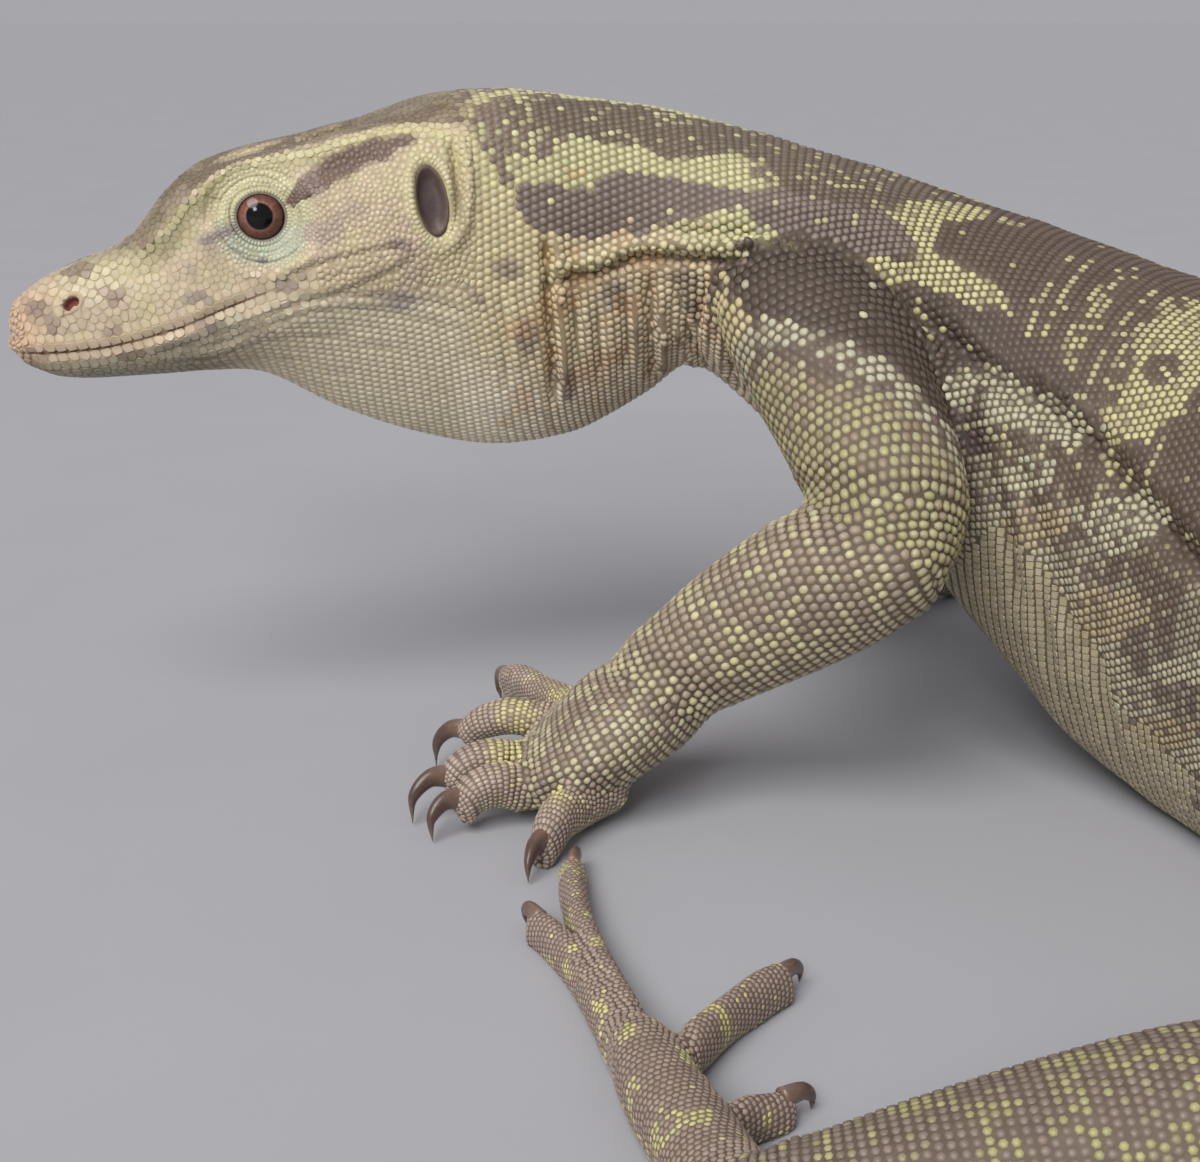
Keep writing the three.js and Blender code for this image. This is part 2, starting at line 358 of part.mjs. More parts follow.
// ---------------------------------------------------------------- limbs
function limb(side, spec, core, names, colours) {
  const [upperName, lowerName, footName, clawName] = names.map((n) => n + "_" + side);
  const upper = limbLength(spec.upper, LIMB_AROUND + 2, 6);
  const lower = limbLength(spec.lower, LIMB_AROUND, 6);
  let foot = limbLength(spec.palm, PALM_AROUND, 5, { round: 0.5, sole: true });
  for (const d of spec.digits) foot = foot.add(limbLength(d.path, DIGIT_AROUND, 4, { round: 0.8, sole: true }));
  const upperCut = largest(upper.subtract(core));
  const lowerCut = largest(lower.subtract(limbLength(spec.upper, LIMB_AROUND + 2, 6, { grow: 0.4 })).subtract(core));
  foot = foot.subtract(limbLength(spec.lower, LIMB_AROUND, 6, { grow: 0.4 }));
  spec.digits.forEach((d, i) => {
    const tip = limbLength(d.path.slice(-2), 6, 2, { grow: GAP + 0.05, round: 0.8, sole: true });
    add(clawName + "_" + (i + 1), largest(limbLength(d.claw, CLAW_AROUND, 4, { round: 0.3 }).subtract(tip)), 0x6f5650, 0.35);
  });
  add(upperName, upperCut, colours[0]);
  add(lowerName, lowerCut, colours[1]);
  add(footName, largest(foot), colours[2]);
}
const SKIN = [0xa8986c, 0xa49373, 0x9c8578];
limb("l", LEFT_ARM, foreGrown, ["upper_arm", "forearm", "hand", "finger_claw"], SKIN);
limb("r", RIGHT_ARM, foreGrown, ["upper_arm", "forearm", "hand", "finger_claw"], SKIN);
limb("l", LEFT_LEG, hindGrown, ["thigh", "shin", "foot", "toe_claw"], SKIN);
limb("r", RIGHT_LEG, hindGrown, ["thigh", "shin", "foot", "toe_claw"], SKIN);

// ---------------------------------------------------------------- group, origin at the middle of the base
const lo = [Infinity, Infinity];
const hi = [-Infinity, -Infinity];
for (const { m } of nodes) {
  const b = m.boundingBox();
  for (const k of [0, 1]) {
    lo[k] = Math.min(lo[k], b.min[k]);
    hi[k] = Math.max(hi[k], b.max[k]);
  }
}
const centre = [(lo[0] + hi[0]) / 2, (lo[1] + hi[1]) / 2];

const group = new THREE.Group();
for (const { name, m, colour, roughness, metalness } of nodes) {
  const mesh = m.simplify(FINE[name.replace(/_.*/, "")] ?? FINE.rest).getMesh();
  const n = mesh.numProp;
  const v = new Float32Array(mesh.numVert * 3);
  for (let i = 0; i < mesh.numVert; i++) {
    v[3 * i] = mesh.vertProperties[i * n] - centre[0];
    v[3 * i + 1] = mesh.vertProperties[i * n + 1] - centre[1];
    v[3 * i + 2] = mesh.vertProperties[i * n + 2];
  }
  const g = new THREE.BufferGeometry();
  g.setAttribute("position", new THREE.BufferAttribute(v, 3));
  g.setIndex(new THREE.BufferAttribute(new Uint32Array(mesh.triVerts), 1));
  g.computeVertexNormals();
  const piece = new THREE.Mesh(g, new THREE.MeshStandardMaterial({ color: colour, roughness, metalness }));
  piece.name = name;
  group.add(piece);
}
export default group;
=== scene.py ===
# Water monitor lizard: skin, scales, eyes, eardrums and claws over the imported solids.
# Shape tables are in millimetres in the builder's drawing frame; OFF moves them to the part's frame.
import math
import time
import bpy
import bmesh
import numpy as np
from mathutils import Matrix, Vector
from mathutils.kdtree import KDTree
from mathutils.bvhtree import BVHTree


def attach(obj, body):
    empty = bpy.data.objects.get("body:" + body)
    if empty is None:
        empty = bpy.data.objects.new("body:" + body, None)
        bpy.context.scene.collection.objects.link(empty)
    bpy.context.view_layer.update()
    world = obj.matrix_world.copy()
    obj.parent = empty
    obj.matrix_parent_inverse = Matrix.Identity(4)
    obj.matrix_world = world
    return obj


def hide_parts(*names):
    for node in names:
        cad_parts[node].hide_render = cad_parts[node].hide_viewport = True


T0 = time.time()
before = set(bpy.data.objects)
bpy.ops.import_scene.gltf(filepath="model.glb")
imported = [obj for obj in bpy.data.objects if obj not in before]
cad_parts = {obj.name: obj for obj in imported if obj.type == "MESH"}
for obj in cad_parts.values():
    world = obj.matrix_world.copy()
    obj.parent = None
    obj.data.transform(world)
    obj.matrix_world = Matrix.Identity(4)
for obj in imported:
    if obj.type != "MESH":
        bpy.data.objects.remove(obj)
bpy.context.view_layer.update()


def note(what):
    print("%6.1f s  %s" % (time.time() - T0, what))


H = 95.1  # height of the snout tip over the floor
# Which way the spine runs towards the tail, degrees from +X turning towards -Y, by length from the snout.
HEADING = [
  [0, -12], [95, -12], [130, -7], [165, 1], [200, 13], [240, 27], [290, 46], [350, 70],
  [420, 92], [480, 103], [520, 107], [560, 106], [620, 96], [690, 66], [770, 30], [850, 4],
  [950, -12], [1080, -10], [1250, 6], [1400, 14], [1440, 16],
]
# Cross-sections: length; top; shoulder of the back (half width, height); widest line; lower edge; underside.
SECTIONS = [
  [0.4, H + 3.0, 2.0, H + 2.3, 3.0, H + 0.2, 2.0, H - 2.0, H - 2.8],
  [3, H + 8.2, 4.2, H + 7.2, 6.4, H + 1.0, 4.4, H - 4.8, H - 6.4],
  [8, H + 12.2, 6.2, H + 11.0, 9.6, H + 2.0, 6.6, H - 6.6, H - 8.6],
  [16, H + 16.4, 8.0, H + 14.8, 12.2, H + 5.0, 9.2, H - 7.2, H - 9.8],
  [28, H + 21.2, 9.8, H + 19.4, 14.8, H + 8.0, 11.6, H - 6.4, H - 9.7],
  [37, H + 25.4, 14.2, H + 30.2, 17.2, H + 11.6, 13.8, H - 4.8, H - 9.5],
  [46, H + 29.6, 16.8, H + 37.2, 19.6, H + 15.5, 15.8, H - 3.0, H - 9.3],
  [58, H + 35.4, 18.0, H + 39.8, 22.2, H + 20.0, 19.0, H + 2.0, H - 10.6],
  [75, H + 43.6, 19.8, H + 43.2, 26.8, H + 25.5, 22.6, H + 6.0, H - 19.6],
  [95, H + 52.2, 20.0, H + 47.6, 28.6, H + 28.5, 24.0, H + 3.0, H - 27.0],
  [113, H + 54.0, 19.0, H + 48.6, 27.0, H + 26.5, 22.4, H - 5.0, H - 30.2],
  [132, 147.4, 19.2, 141.4, 26.6, 120.6, 20.6, 88.0, 68.0],
  [148, 145.0, 20.4, 138.0, 27.8, 117.0, 20.0, 91.5, 76.6],
  [159, 143.0, 22.4, 135.6, 30.4, 113.0, 21.6, 93.6, 83.6],
  [171, 139.8, 25.0, 131.6, 34.6, 108.0, 25.0, 86.6, 77.2],
  [187, 135.4, 28.4, 126.2, 40.0, 100.0, 28.6, 74.0, 62.0],
  [202, 131.2, 30.6, 121.0, 42.6, 93.0, 30.0, 63.0, 51.0],
  [222, 125.0, 33.4, 113.6, 46.6, 82.0, 33.0, 50.0, 38.0],
  [244, 118.6, 36.0, 106.0, 50.6, 70.0, 36.0, 33.0, 20.5],
  [267, 111.6, 38.2, 98.6, 53.6, 58.0, 38.0, 17.0, 5.6],
  [290, 106.0, 39.6, 93.0, 55.0, 52.5, 39.6, 8.0, -0.6],
  [315, 102.8, 40.2, 89.6, 55.0, 50.0, 41.4, 4.0, -1.6],
  [345, 100.6, 40.2, 87.0, 54.8, 48.4, 43.0, 2.0, -1.6],
  [380, 99.0, 39.6, 85.0, 53.4, 47.0, 42.6, 1.8, -1.6],
  [430, 96.6, 37.6, 82.4, 49.6, 46.0, 39.0, 2.0, -1.6],
  [480, 93.6, 33.6, 79.0, 43.0, 45.6, 33.0, 3.0, -1.0],
  [515, 89.6, 29.6, 75.4, 37.0, 45.0, 28.0, 5.0, 0.6],
  [545, 83.4, 25.4, 69.6, 32.0, 42.6, 25.0, 5.6, -0.6],
  [580, 75.0, 20.0, 61.0, 28.0, 37.0, 22.0, 4.4, -1.2],
  [640, 63.6, 13.6, 52.0, 21.6, 31.0, 17.0, 3.4, -1.2],
  [720, 52.6, 9.4, 43.0, 16.0, 25.0, 13.0, 2.8, -1.0],
  [820, 44.6, 6.8, 36.0, 12.0, 20.6, 10.0, 2.4, -0.9],
  [950, 35.6, 4.8, 28.4, 9.0, 16.0, 7.6, 2.0, -0.8],
  [1100, 26.0, 3.4, 20.4, 6.4, 11.6, 5.4, 1.5, -0.6],
  [1260, 16.6, 2.2, 12.8, 4.2, 7.4, 3.6, 1.1, -0.4],
  [1380, 9.6, 1.5, 7.2, 2.7, 4.4, 2.3, 0.8, -0.3],
  [1440, 4.2, 0.9, 3.3, 1.4, 2.1, 1.2, 0.5, -0.2],
]
MOUTH = [[-3, -3.4], [2.8, -3.2], [15.2, -2.7], [25, -1.2], [35.5, 2.1], [43.3, 5.2], [51.3, 7.9], [63.4, 14.3], [72.1, 17.8]]
LEFT_ARM = {
  "upper": [[43, 426, 112, 16, 11], [46, 415, 103, 21, 16], [51.5, 402, 92, 20.5, 18], [55.8, 388.5, 82, 18.8, 17], [59, 376, 73, 17.2, 16.2], [60.6, 367, 65.8, 15.8, 14.6], [61.4, 362.8, 61.6, 13.4, 12.2]],
  "lower": [[66, 361.6, 63.4, 10, 10.6], [62, 362, 61.8, 13.2, 13.6], [52, 365, 56.2, 14.6, 16.2], [41, 368, 49, 14, 16.2], [29.6, 371, 41, 12.8, 14.8], [19.3, 373.6, 33, 12.2, 12.8], [12.5, 374.6, 27.4, 12.4, 12]],
  "palm": [[17, 373.4, 29, 11.6, 11], [10, 373, 23.6, 15.4, 12], [1.6, 372.4, 18, 18.6, 11.4], [-5.6, 372.4, 13.2, 19, 9.4], [-11.5, 372.8, 10, 17.4, 7.2], [-15, 373, 8.2, 13, 5]],
  "digits": [
    { "path": [[3, 386, 17.5, 5.4], [-4, 400, 12.6, 4.5], [-12, 414, 10.4, 4], [-19, 425.5, 10, 3.9], [-22.4, 431, 8.4, 3.3]], "claw": [[-22.4, 431, 8.8, 2.5], [-24.6, 434.6, 7.8, 2], [-25.4, 436.6, 4.2, 1.3], [-24.8, 436.6, 0.5, 0.4]] },
    { "path": [[-5, 384, 15, 5.4], [-13, 386, 14.6, 4.6], [-20, 387.4, 15, 4.6], [-26, 388.8, 13, 4.2], [-29.4, 389.6, 10.4, 3.5]], "claw": [[-29.2, 389.6, 10.8, 2.6], [-33.8, 391, 10.4, 2], [-37, 392, 6.6, 1.4], [-37.4, 392.2, 1, 0.4]] },
    { "path": [[-7, 374, 12, 5.4], [-15.6, 371.6, 11, 4.6], [-23.4, 369.4, 12.4, 4.6], [-28.8, 367.6, 11.4, 4.2], [-31.6, 366.4, 9, 3.5]], "claw": [[-31.4, 366.6, 9.4, 2.7], [-36.2, 364.6, 9.6, 2.1], [-39.6, 362.4, 6.2, 1.5], [-39.8, 361, 0.9, 0.45]] },
    { "path": [[-6, 366, 10, 5.4], [-13.6, 363.4, 9, 4.6], [-21, 361.2, 10.4, 4.6], [-26, 359.4, 9.6, 4.2], [-28.4, 358, 7.6, 3.5]], "claw": [[-28.2, 358.2, 8, 2.7], [-32.4, 355.8, 8.2, 2.1], [-35, 353.4, 5.2, 1.5], [-34.8, 352.2, 0.8, 0.45]] },
    { "path": [[2, 363, 9.6, 5], [-3.4, 357.4, 8.6, 4.4], [-8, 350.4, 8.4, 4.3], [-10.4, 344.8, 7, 3.9], [-11.6, 341.8, 5.6, 3.3]], "claw": [[-11.6, 342, 6.2, 2.5], [-13.2, 337.8, 6.2, 2], [-14.2, 334.4, 4, 1.3], [-14.2, 333.2, 0.7, 0.4]] },
  ],
}
RIGHT_ARM = {
  "upper": [[66, 455, 112, 16, 11], [71, 465, 103, 21, 16], [82, 476, 92, 20, 17], [94, 487, 79, 18, 16], [104, 496, 68, 16.4, 15.4], [110, 501, 60.5, 14.6, 14], [113, 503, 57, 12, 11.4]],
  "lower": [[118, 506, 60, 10, 11], [113, 504, 56.5, 13.4, 14.4], [103, 500.5, 47.5, 13.6, 14.8], [93, 497.5, 38, 12.2, 13.4], [84, 495.4, 29.4, 11, 11.4], [78, 494.6, 23.4, 10.6, 10]],
  "palm": [[79, 491, 25.4, 9, 9], [76.6, 497, 20, 11.6, 9.4], [75.4, 505, 14.4, 14.4, 8.6], [75, 513, 10.4, 15.2, 7], [75, 519.6, 8, 14.6, 5.8], [75, 523, 7, 11.4, 4.4]],
  "digits": [
    { "path": [[66, 505, 12.6, 4.8], [56, 509, 9, 4.1], [47, 512.6, 8, 3.6], [42, 514.6, 6.4, 3]], "claw": [[42.2, 514.6, 6.6, 2.2], [38, 516.4, 6, 1.7], [35.6, 517.2, 3.4, 1.2], [35.2, 517.4, 0.6, 0.4]] },
    { "path": [[66, 515, 10, 4.8], [60, 523, 9, 4.1], [55, 530.5, 9, 4], [51.6, 535.6, 6.6, 3.2]], "claw": [[51.8, 535.4, 7, 2.4], [49, 539.4, 7, 1.8], [47, 542.4, 4, 1.3], [46.6, 543, 0.6, 0.4]] },
    { "path": [[72, 518, 9, 4.9], [70, 528.5, 8.6, 4.2], [68.4, 538, 9.2, 4.1], [67.6, 544.6, 6.6, 3.3]], "claw": [[67.6, 544.4, 7, 2.4], [67, 549.4, 7, 1.9], [66.6, 552.8, 4.2, 1.3], [66.6, 553.4, 0.6, 0.4]] },
    { "path": [[79, 518, 9, 4.9], [82, 528.5, 8.6, 4.2], [85, 538, 9.2, 4.1], [87, 544.6, 6.6, 3.3]], "claw": [[87, 544.4, 7, 2.4], [88.6, 549.4, 7, 1.9], [89.6, 552.8, 4.2, 1.3], [89.8, 553.4, 0.6, 0.4]] },
    { "path": [[84, 512, 9, 4.7], [93, 517.5, 8, 4], [100, 521.6, 7.6, 3.8], [105, 524.6, 5.6, 3]], "claw": [[104.8, 524.4, 6, 2.3], [109, 526.6, 6, 1.8], [111.6, 528, 3.6, 1.2], [112, 528.2, 0.6, 0.4]] },
  ],
}
LEFT_LEG = {
  "upper": [[170, 172, 56, 18, 16], [160, 176, 54, 22, 21], [144, 183, 49, 22, 22], [127, 190.5, 43, 20, 21], [110, 198, 36.4, 18, 18.6], [98, 203, 31.6, 16, 16.2], [91, 205.6, 29.4, 13, 13]],
  "lower": [[97, 205.4, 30, 11, 12], [91, 205.6, 28.6, 14.6, 15.4], [78, 206.4, 26, 15.6, 16], [62, 207, 22.4, 14.6, 14.8], [46, 207.4, 18.6, 12.8, 13], [33, 207.8, 15.4, 11, 11.2], [24, 208.4, 13.6, 9.8, 9.8]],
  "palm": [[21, 203, 12.8, 8, 8.8], [20, 209, 11.64, 8.46, 8.64], [16.8, 222, 9.8, 7.64, 7.2], [13.4, 236, 8.56, 7.14, 6.36], [9.6, 249, 7.71, 6.72, 5.71], [7, 260, 7.21, 6.07, 5.21], [5.4, 266, 7, 4.9, 4.4]],
  "digits": [
    { "path": [[13, 236, 7.46, 3.46], [18.4, 241.4, 6.8, 3.1], [23, 246, 5.82, 3.02], [26.6, 249, 4.82, 3.12], [28.2, 250.4, 4.64, 3.04]], "claw": [[28, 250.2, 4.9, 1.95], [31.4, 252.6, 4.7, 1.53], [33.2, 254, 2.8, 1.02], [33.2, 254.2, 0.6, 0.4]] },
    { "path": [[10, 255, 6.94, 3.74], [15.6, 265, 6.68, 3.38], [21.4, 275, 6.17, 3.17], [27.4, 283.6, 5.52, 3.52], [31, 288, 5.02, 3.52]], "claw": [[30.8, 287.8, 5.1, 2.04], [33.8, 291.6, 4.9, 1.61], [35.4, 293.8, 3, 1.1], [35.4, 294.2, 0.6, 0.4]] },
    { "path": [[4.6, 260, 6.6, 3.6], [0, 278, 6.2, 3.1], [-4.4, 294, 5.45, 2.95], [-8.6, 304.4, 5.2, 3.2], [-11.2, 309.6, 4.73, 3.23]], "claw": [[-11, 309.4, 4.9, 2.04], [-13.2, 313.6, 4.9, 1.61], [-14.2, 316.2, 3, 1.02], [-14, 316.6, 0.6, 0.4]] },
    { "path": [[7.8, 257, 6.69, 3.89], [4, 274, 6.66, 3.46], [0, 291, 6.11, 3.31], [-3.2, 307, 5.8, 3.1], [-5, 322, 5.38, 3.28], [-5.4, 332.6, 4.73, 3.23]], "claw": [[-5.4, 332.2, 4.9, 2.04], [-5, 337.4, 4.9, 1.61], [-4.4, 340.8, 3, 1.1], [-4.2, 341.4, 0.6, 0.4]] },
    { "path": [[11, 214, 7.71, 3.31], [1.6, 212, 6.28, 2.88], [-7, 211.6, 5.26, 2.96], [-14.6, 213.6, 4.64, 2.94]], "claw": [[-14.2, 213.4, 4.9, 1.87], [-18.6, 215.4, 4.7, 1.44], [-21.2, 216.8, 2.8, 1.02], [-21.6, 217.2, 0.6, 0.4]] },
  ],
}
RIGHT_LEG = {
  "upper": [[178, 164, 56, 18, 16], [188, 165, 54, 22, 21], [204, 169, 50, 22, 22], [222, 173.6, 46, 20, 20.6], [241, 178, 41, 18, 18.2], [256, 181.4, 37, 16, 16], [264, 183, 34.6, 13, 13]],
  "lower": [[266, 189, 36, 11, 12], [267, 183.6, 33.6, 14, 15], [270, 173, 29.6, 14.6, 15.2], [275, 159, 24.4, 13.2, 13.4], [280, 145, 19.4, 11.2, 11.4], [284, 133, 15.4, 10, 10], [286.4, 126, 13.4, 9.4, 9.2]],
  "palm": [[284, 121.6, 12.6, 8, 8.6], [288.4, 124.6, 11.64, 9.2, 8.64], [300, 132, 9.8, 8.96, 7.2], [312, 139.4, 8.39, 8.66, 6.19], [323, 146, 7.58, 7.7, 5.38], [331, 151, 7.1, 6.49, 4.7], [335, 153.6, 6.85, 4.9, 4.05]],
  "digits": [
    { "path": [[316, 151, 7.31, 3.31], [317.4, 160.6, 6.31, 2.81], [319, 168, 5.68, 2.88], [320.4, 173, 5.04, 2.94]], "claw": [[320.4, 172.8, 5.3, 1.87], [321.4, 177.6, 5.1, 1.44], [322, 180.6, 3, 1.02], [322.2, 181, 0.6, 0.4]] },
    { "path": [[327, 154, 6.8, 3.6], [333, 165, 6.4, 3.1], [338.6, 175.6, 5.88, 2.88], [343, 184.4, 5.06, 2.96], [345, 188.6, 4.64, 2.94]], "claw": [[345, 188.4, 4.9, 1.95], [347.2, 193.4, 4.9, 1.53], [348.6, 196.6, 3, 1.02], [348.8, 197.2, 0.6, 0.4]] },
    { "path": [[331, 151, 6.6, 3.6], [343, 158.6, 6.22, 3.02], [354.6, 166, 5.48, 2.88], [365, 172.8, 5.24, 3.04], [371, 177, 4.64, 3.04]], "claw": [[370.8, 176.8, 4.9, 1.95], [375, 179.8, 4.9, 1.53], [377.8, 181.6, 3, 1.02], [378.4, 182, 0.6, 0.4]] },
    { "path": [[331, 147, 6.54, 3.74], [345, 150.6, 6.37, 3.17], [359, 153.8, 5.82, 3.02], [373, 156.6, 5.48, 2.88], [385, 159.6, 5.24, 3.04], [393, 162, 4.64, 3.04]], "claw": [[392.8, 161.8, 4.9, 2.04], [398, 163.6, 4.9, 1.61], [401.4, 164.8, 3.2, 1.1], [402.2, 165.2, 0.6, 0.4]] },
    { "path": [[291, 123, 7.71, 3.31], [298, 116.6, 6.28, 2.88], [305, 111, 5.26, 2.96], [312.4, 107.6, 4.64, 2.94]], "claw": [[312, 107.8, 4.9, 1.87], [316.8, 106, 4.7, 1.44], [319.6, 105, 2.8, 1.02], [320, 104.8, 0.6, 0.4]] },
  ],
}
HEADING = np.array(HEADING, float)
SECTIONS = np.array(SECTIONS, float)
SNOUT = (-135.0, 418.0)
TAIL_TIP = 1440.0
SOLE_FROM, SOLE_TO = 3.6, 9.0
COAT = 0.5  # depth of the scales under the solids' surface


def through(rows, at):
    """Cubic through the rows of a table, first column the position, slopes from the neighbours."""
    rows = np.asarray(rows, float)
    x, y = rows[:, 0], rows[:, 1:]
    m = np.empty_like(y)
    m[1:-1] = (y[2:] - y[:-2]) / (x[2:] - x[:-2])[:, None]
    m[0] = (y[1] - y[0]) / (x[1] - x[0])
    m[-1] = (y[-1] - y[-2]) / (x[-1] - x[-2])
    a = np.clip(np.atleast_1d(at).astype(float), x[0], x[-1])
    i = np.clip(np.searchsorted(x, a, side="left") - 1, 0, len(x) - 2)
    h = (x[i + 1] - x[i])[:, None]
    t = ((a - x[i]) / h[:, 0])[:, None]
    return (2 * t**3 - 3 * t**2 + 1) * y[i] + (t**3 - 2 * t**2 + t) * h * m[i] + (-2 * t**3 + 3 * t**2) * y[i + 1] + (t**3 - t**2) * h * m[i + 1]


_ss = np.arange(0, TAIL_TIP + 1.0)
_ph = np.radians(through(HEADING, _ss)[:, 0])
_cx, _cy = np.cos(_ph), -np.sin(_ph)
SPINE = np.c_[
    SNOUT[0] + np.r_[0, np.cumsum((_cx[1:] + _cx[:-1]) / 2)],
    SNOUT[1] + np.r_[0, np.cumsum((_cy[1:] + _cy[:-1]) / 2)],
    _ph,
]


def spine_at(s):
    c = np.clip(s, 0, TAIL_TIP)
    i = np.minimum(c.astype(int), int(TAIL_TIP) - 1)
    f = (c - i)[:, None]
    return SPINE[i] * (1 - f) + SPINE[i + 1] * f


def body_points(s, u, grow=0.0, floor=0.0):
    """Points on the body: s along the spine from the snout, u round the section, 0 and 1 the top, 0.25 the animal's left."""
    s, u = np.broadcast_arrays(np.asarray(s, float), np.asarray(u, float))
    sec = through(SECTIONS, s)
    zt, xb, zb, xs, zs, xj, zj, zg = sec.T
    zero = np.zeros_like(zt)
    cx = np.stack([zero, xb, xs, xj, zero, -xj, -xs, -xb], 1)
    cz = np.stack([zt, zb, zs, zj, zg, zj, zs, zb], 1)
    mid = ((zt + zg) / 2)[:, None]
    l = np.hypot(cx, cz - mid)
    cx, cz = cx + cx / l * grow, cz + (cz - mid) / l * grow
    p = (u % 1.0) * 8
    i = np.minimum(p.astype(int), 7)
    w = (p - i)[:, None]
    r = np.arange(len(s))
    c = np.stack([cx, cz], 2)
    p0, p1, p2, p3 = c[r, (i - 1) % 8], c[r, i], c[r, (i + 1) % 8], c[r, (i + 2) % 8]
    t0, t1 = 0.5 * (p2 - p0), 0.5 * (p3 - p1)
    q = p1 + t0 * w + (-3 * p1 + 3 * p2 - 2 * t0 - t1) * w**2 + (2 * p1 - 2 * p2 + t0 + t1) * w**3
    sp = spine_at(s)
    return np.c_[sp[:, 0] - np.sin(sp[:, 2]) * q[:, 0], sp[:, 1] - np.cos(sp[:, 2]) * q[:, 0], np.maximum(q[:, 1], floor)]


def stations(rows):
    a = np.array([list(r) + ([r[3]] if len(r) == 4 else []) for r in rows], float)
    return np.c_[np.arange(len(a)), a]


def limb_points(rows, i, t, grow=0.0, floor=0.0, sole=False, rnd=0.7):
    """Points on a limb's loft: i along its stations (beyond the ends: the rounded caps, one cap per 1), t round it in turns."""
    rows = rows if isinstance(rows, np.ndarray) else stations(rows)
    last = rows[-1, 0]
    i, t = np.broadcast_arrays(np.asarray(i, float), np.asarray(t, float))
    ic = np.clip(i, 0, last)
    v = through(rows, ic)
    a, b = through(rows, np.maximum(ic - 0.05, 0)), through(rows, np.minimum(ic + 0.05, last))
    al = b[:, :3] - a[:, :3]
    al /= np.linalg.norm(al, axis=1)[:, None]
    ac = np.c_[al[:, 1], -al[:, 0], np.zeros(len(al))]
    ac /= np.linalg.norm(ac, axis=1)[:, None]
    up = np.cross(ac, al)
    over = np.clip(np.where(i < 0, -i, np.maximum(i - last, 0)), 0, 1)
    way = np.where(i < 0, -1.0, 1.0)
    w, h = v[:, 3] + grow, v[:, 4] + grow
    k = np.sqrt(np.maximum(1 - over**2, 0))
    c = v[:, :3] + al * (way * over * rnd * np.minimum(w, h))[:, None]
    an = t * 2 * np.pi
    p = c + ac * (np.cos(an) * w * k)[:, None] + up * (np.sin(an) * h * k)[:, None]
    if sole:
        low = p[:, 2] < SOLE_TO
        p[low, 2] = (p[low, 2] - SOLE_FROM) * SOLE_TO / (SOLE_TO - SOLE_FROM)
    p[:, 2] = np.maximum(p[:, 2], floor)
    return p


LIMBS = {"fl": LEFT_ARM, "fr": RIGHT_ARM, "hl": LEFT_LEG, "hr": RIGHT_LEG}
# Every loft of the limbs: key, stations, lies on the floor, end rounding
LOFTS = []
for _k, _sp in LIMBS.items():
    LOFTS.append((_k + "_up", stations(_sp["upper"]), False, 0.7))
    LOFTS.append((_k + "_lo", stations(_sp["lower"]), False, 0.7))
    LOFTS.append((_k + "_pa", stations(_sp["palm"]), True, 0.5))
    for _n, _d in enumerate(_sp["digits"]):
        LOFTS.append((_k + "_d%d" % (_n + 1), stations(_d["path"]), True, 0.8))


def head_local(p):
    """Drawing-frame points as length from the snout tip, side (left +) and height over the tip."""
    a = np.radians(-12.0)
    d = p[:, :2] - np.array(SNOUT)
    s = d[:, 0] * np.cos(a) - d[:, 1] * np.sin(a)
    x = -d[:, 0] * np.sin(a) - d[:, 1] * np.cos(a)
    return np.c_[s, x, p[:, 2] - H]


def head_world(q):
    a = np.radians(-12.0)
    q = np.atleast_2d(q)
    return np.c_[
        SNOUT[0] + q[:, 0] * np.cos(a) - q[:, 1] * np.sin(a),
        SNOUT[1] - q[:, 0] * np.sin(a) - q[:, 1] * np.cos(a),
        q[:, 2] + H,
    ]


def hash01(*v):
    """Repeatable random numbers from whole or real numbers."""
    x = sum(np.asarray(a, float) * k for a, k in zip(v, (12.9898, 78.233, 37.719, 4.581)))
    x = np.sin(x) * 43758.5453
    return x - np.floor(x)


def sstep(a, b, x):
    t = np.clip((x - a) / (b - a), 0, 1)
    return t * t * (3 - 2 * t)


def vnoise(p, scale, seed=0):
    """Smooth value noise at points (n, 3), period-free, 0 to 1."""
    q = np.asarray(p, float) / scale + seed * 17.31
    i = np.floor(q)
    f = q - i
    f = f * f * (3 - 2 * f)
    out = np.zeros(len(q))
    for dx in (0, 1):
        for dy in (0, 1):
            for dz in (0, 1):
                w = (f[:, 0] if dx else 1 - f[:, 0]) * (f[:, 1] if dy else 1 - f[:, 1]) * (f[:, 2] if dz else 1 - f[:, 2])
                out += w * hash01(i[:, 0] + dx + seed, i[:, 1] + dy, i[:, 2] + dz)
    return out


def fbm(p, scale, seed=0):
    return 0.55 * vnoise(p, scale, seed) + 0.3 * vnoise(p, scale * 0.47, seed + 3) + 0.15 * vnoise(p, scale * 0.22, seed + 7)
# ---------------------------------------------------------------- the skin: one closed surface
GROW = -COAT
FLOOR = 0.45


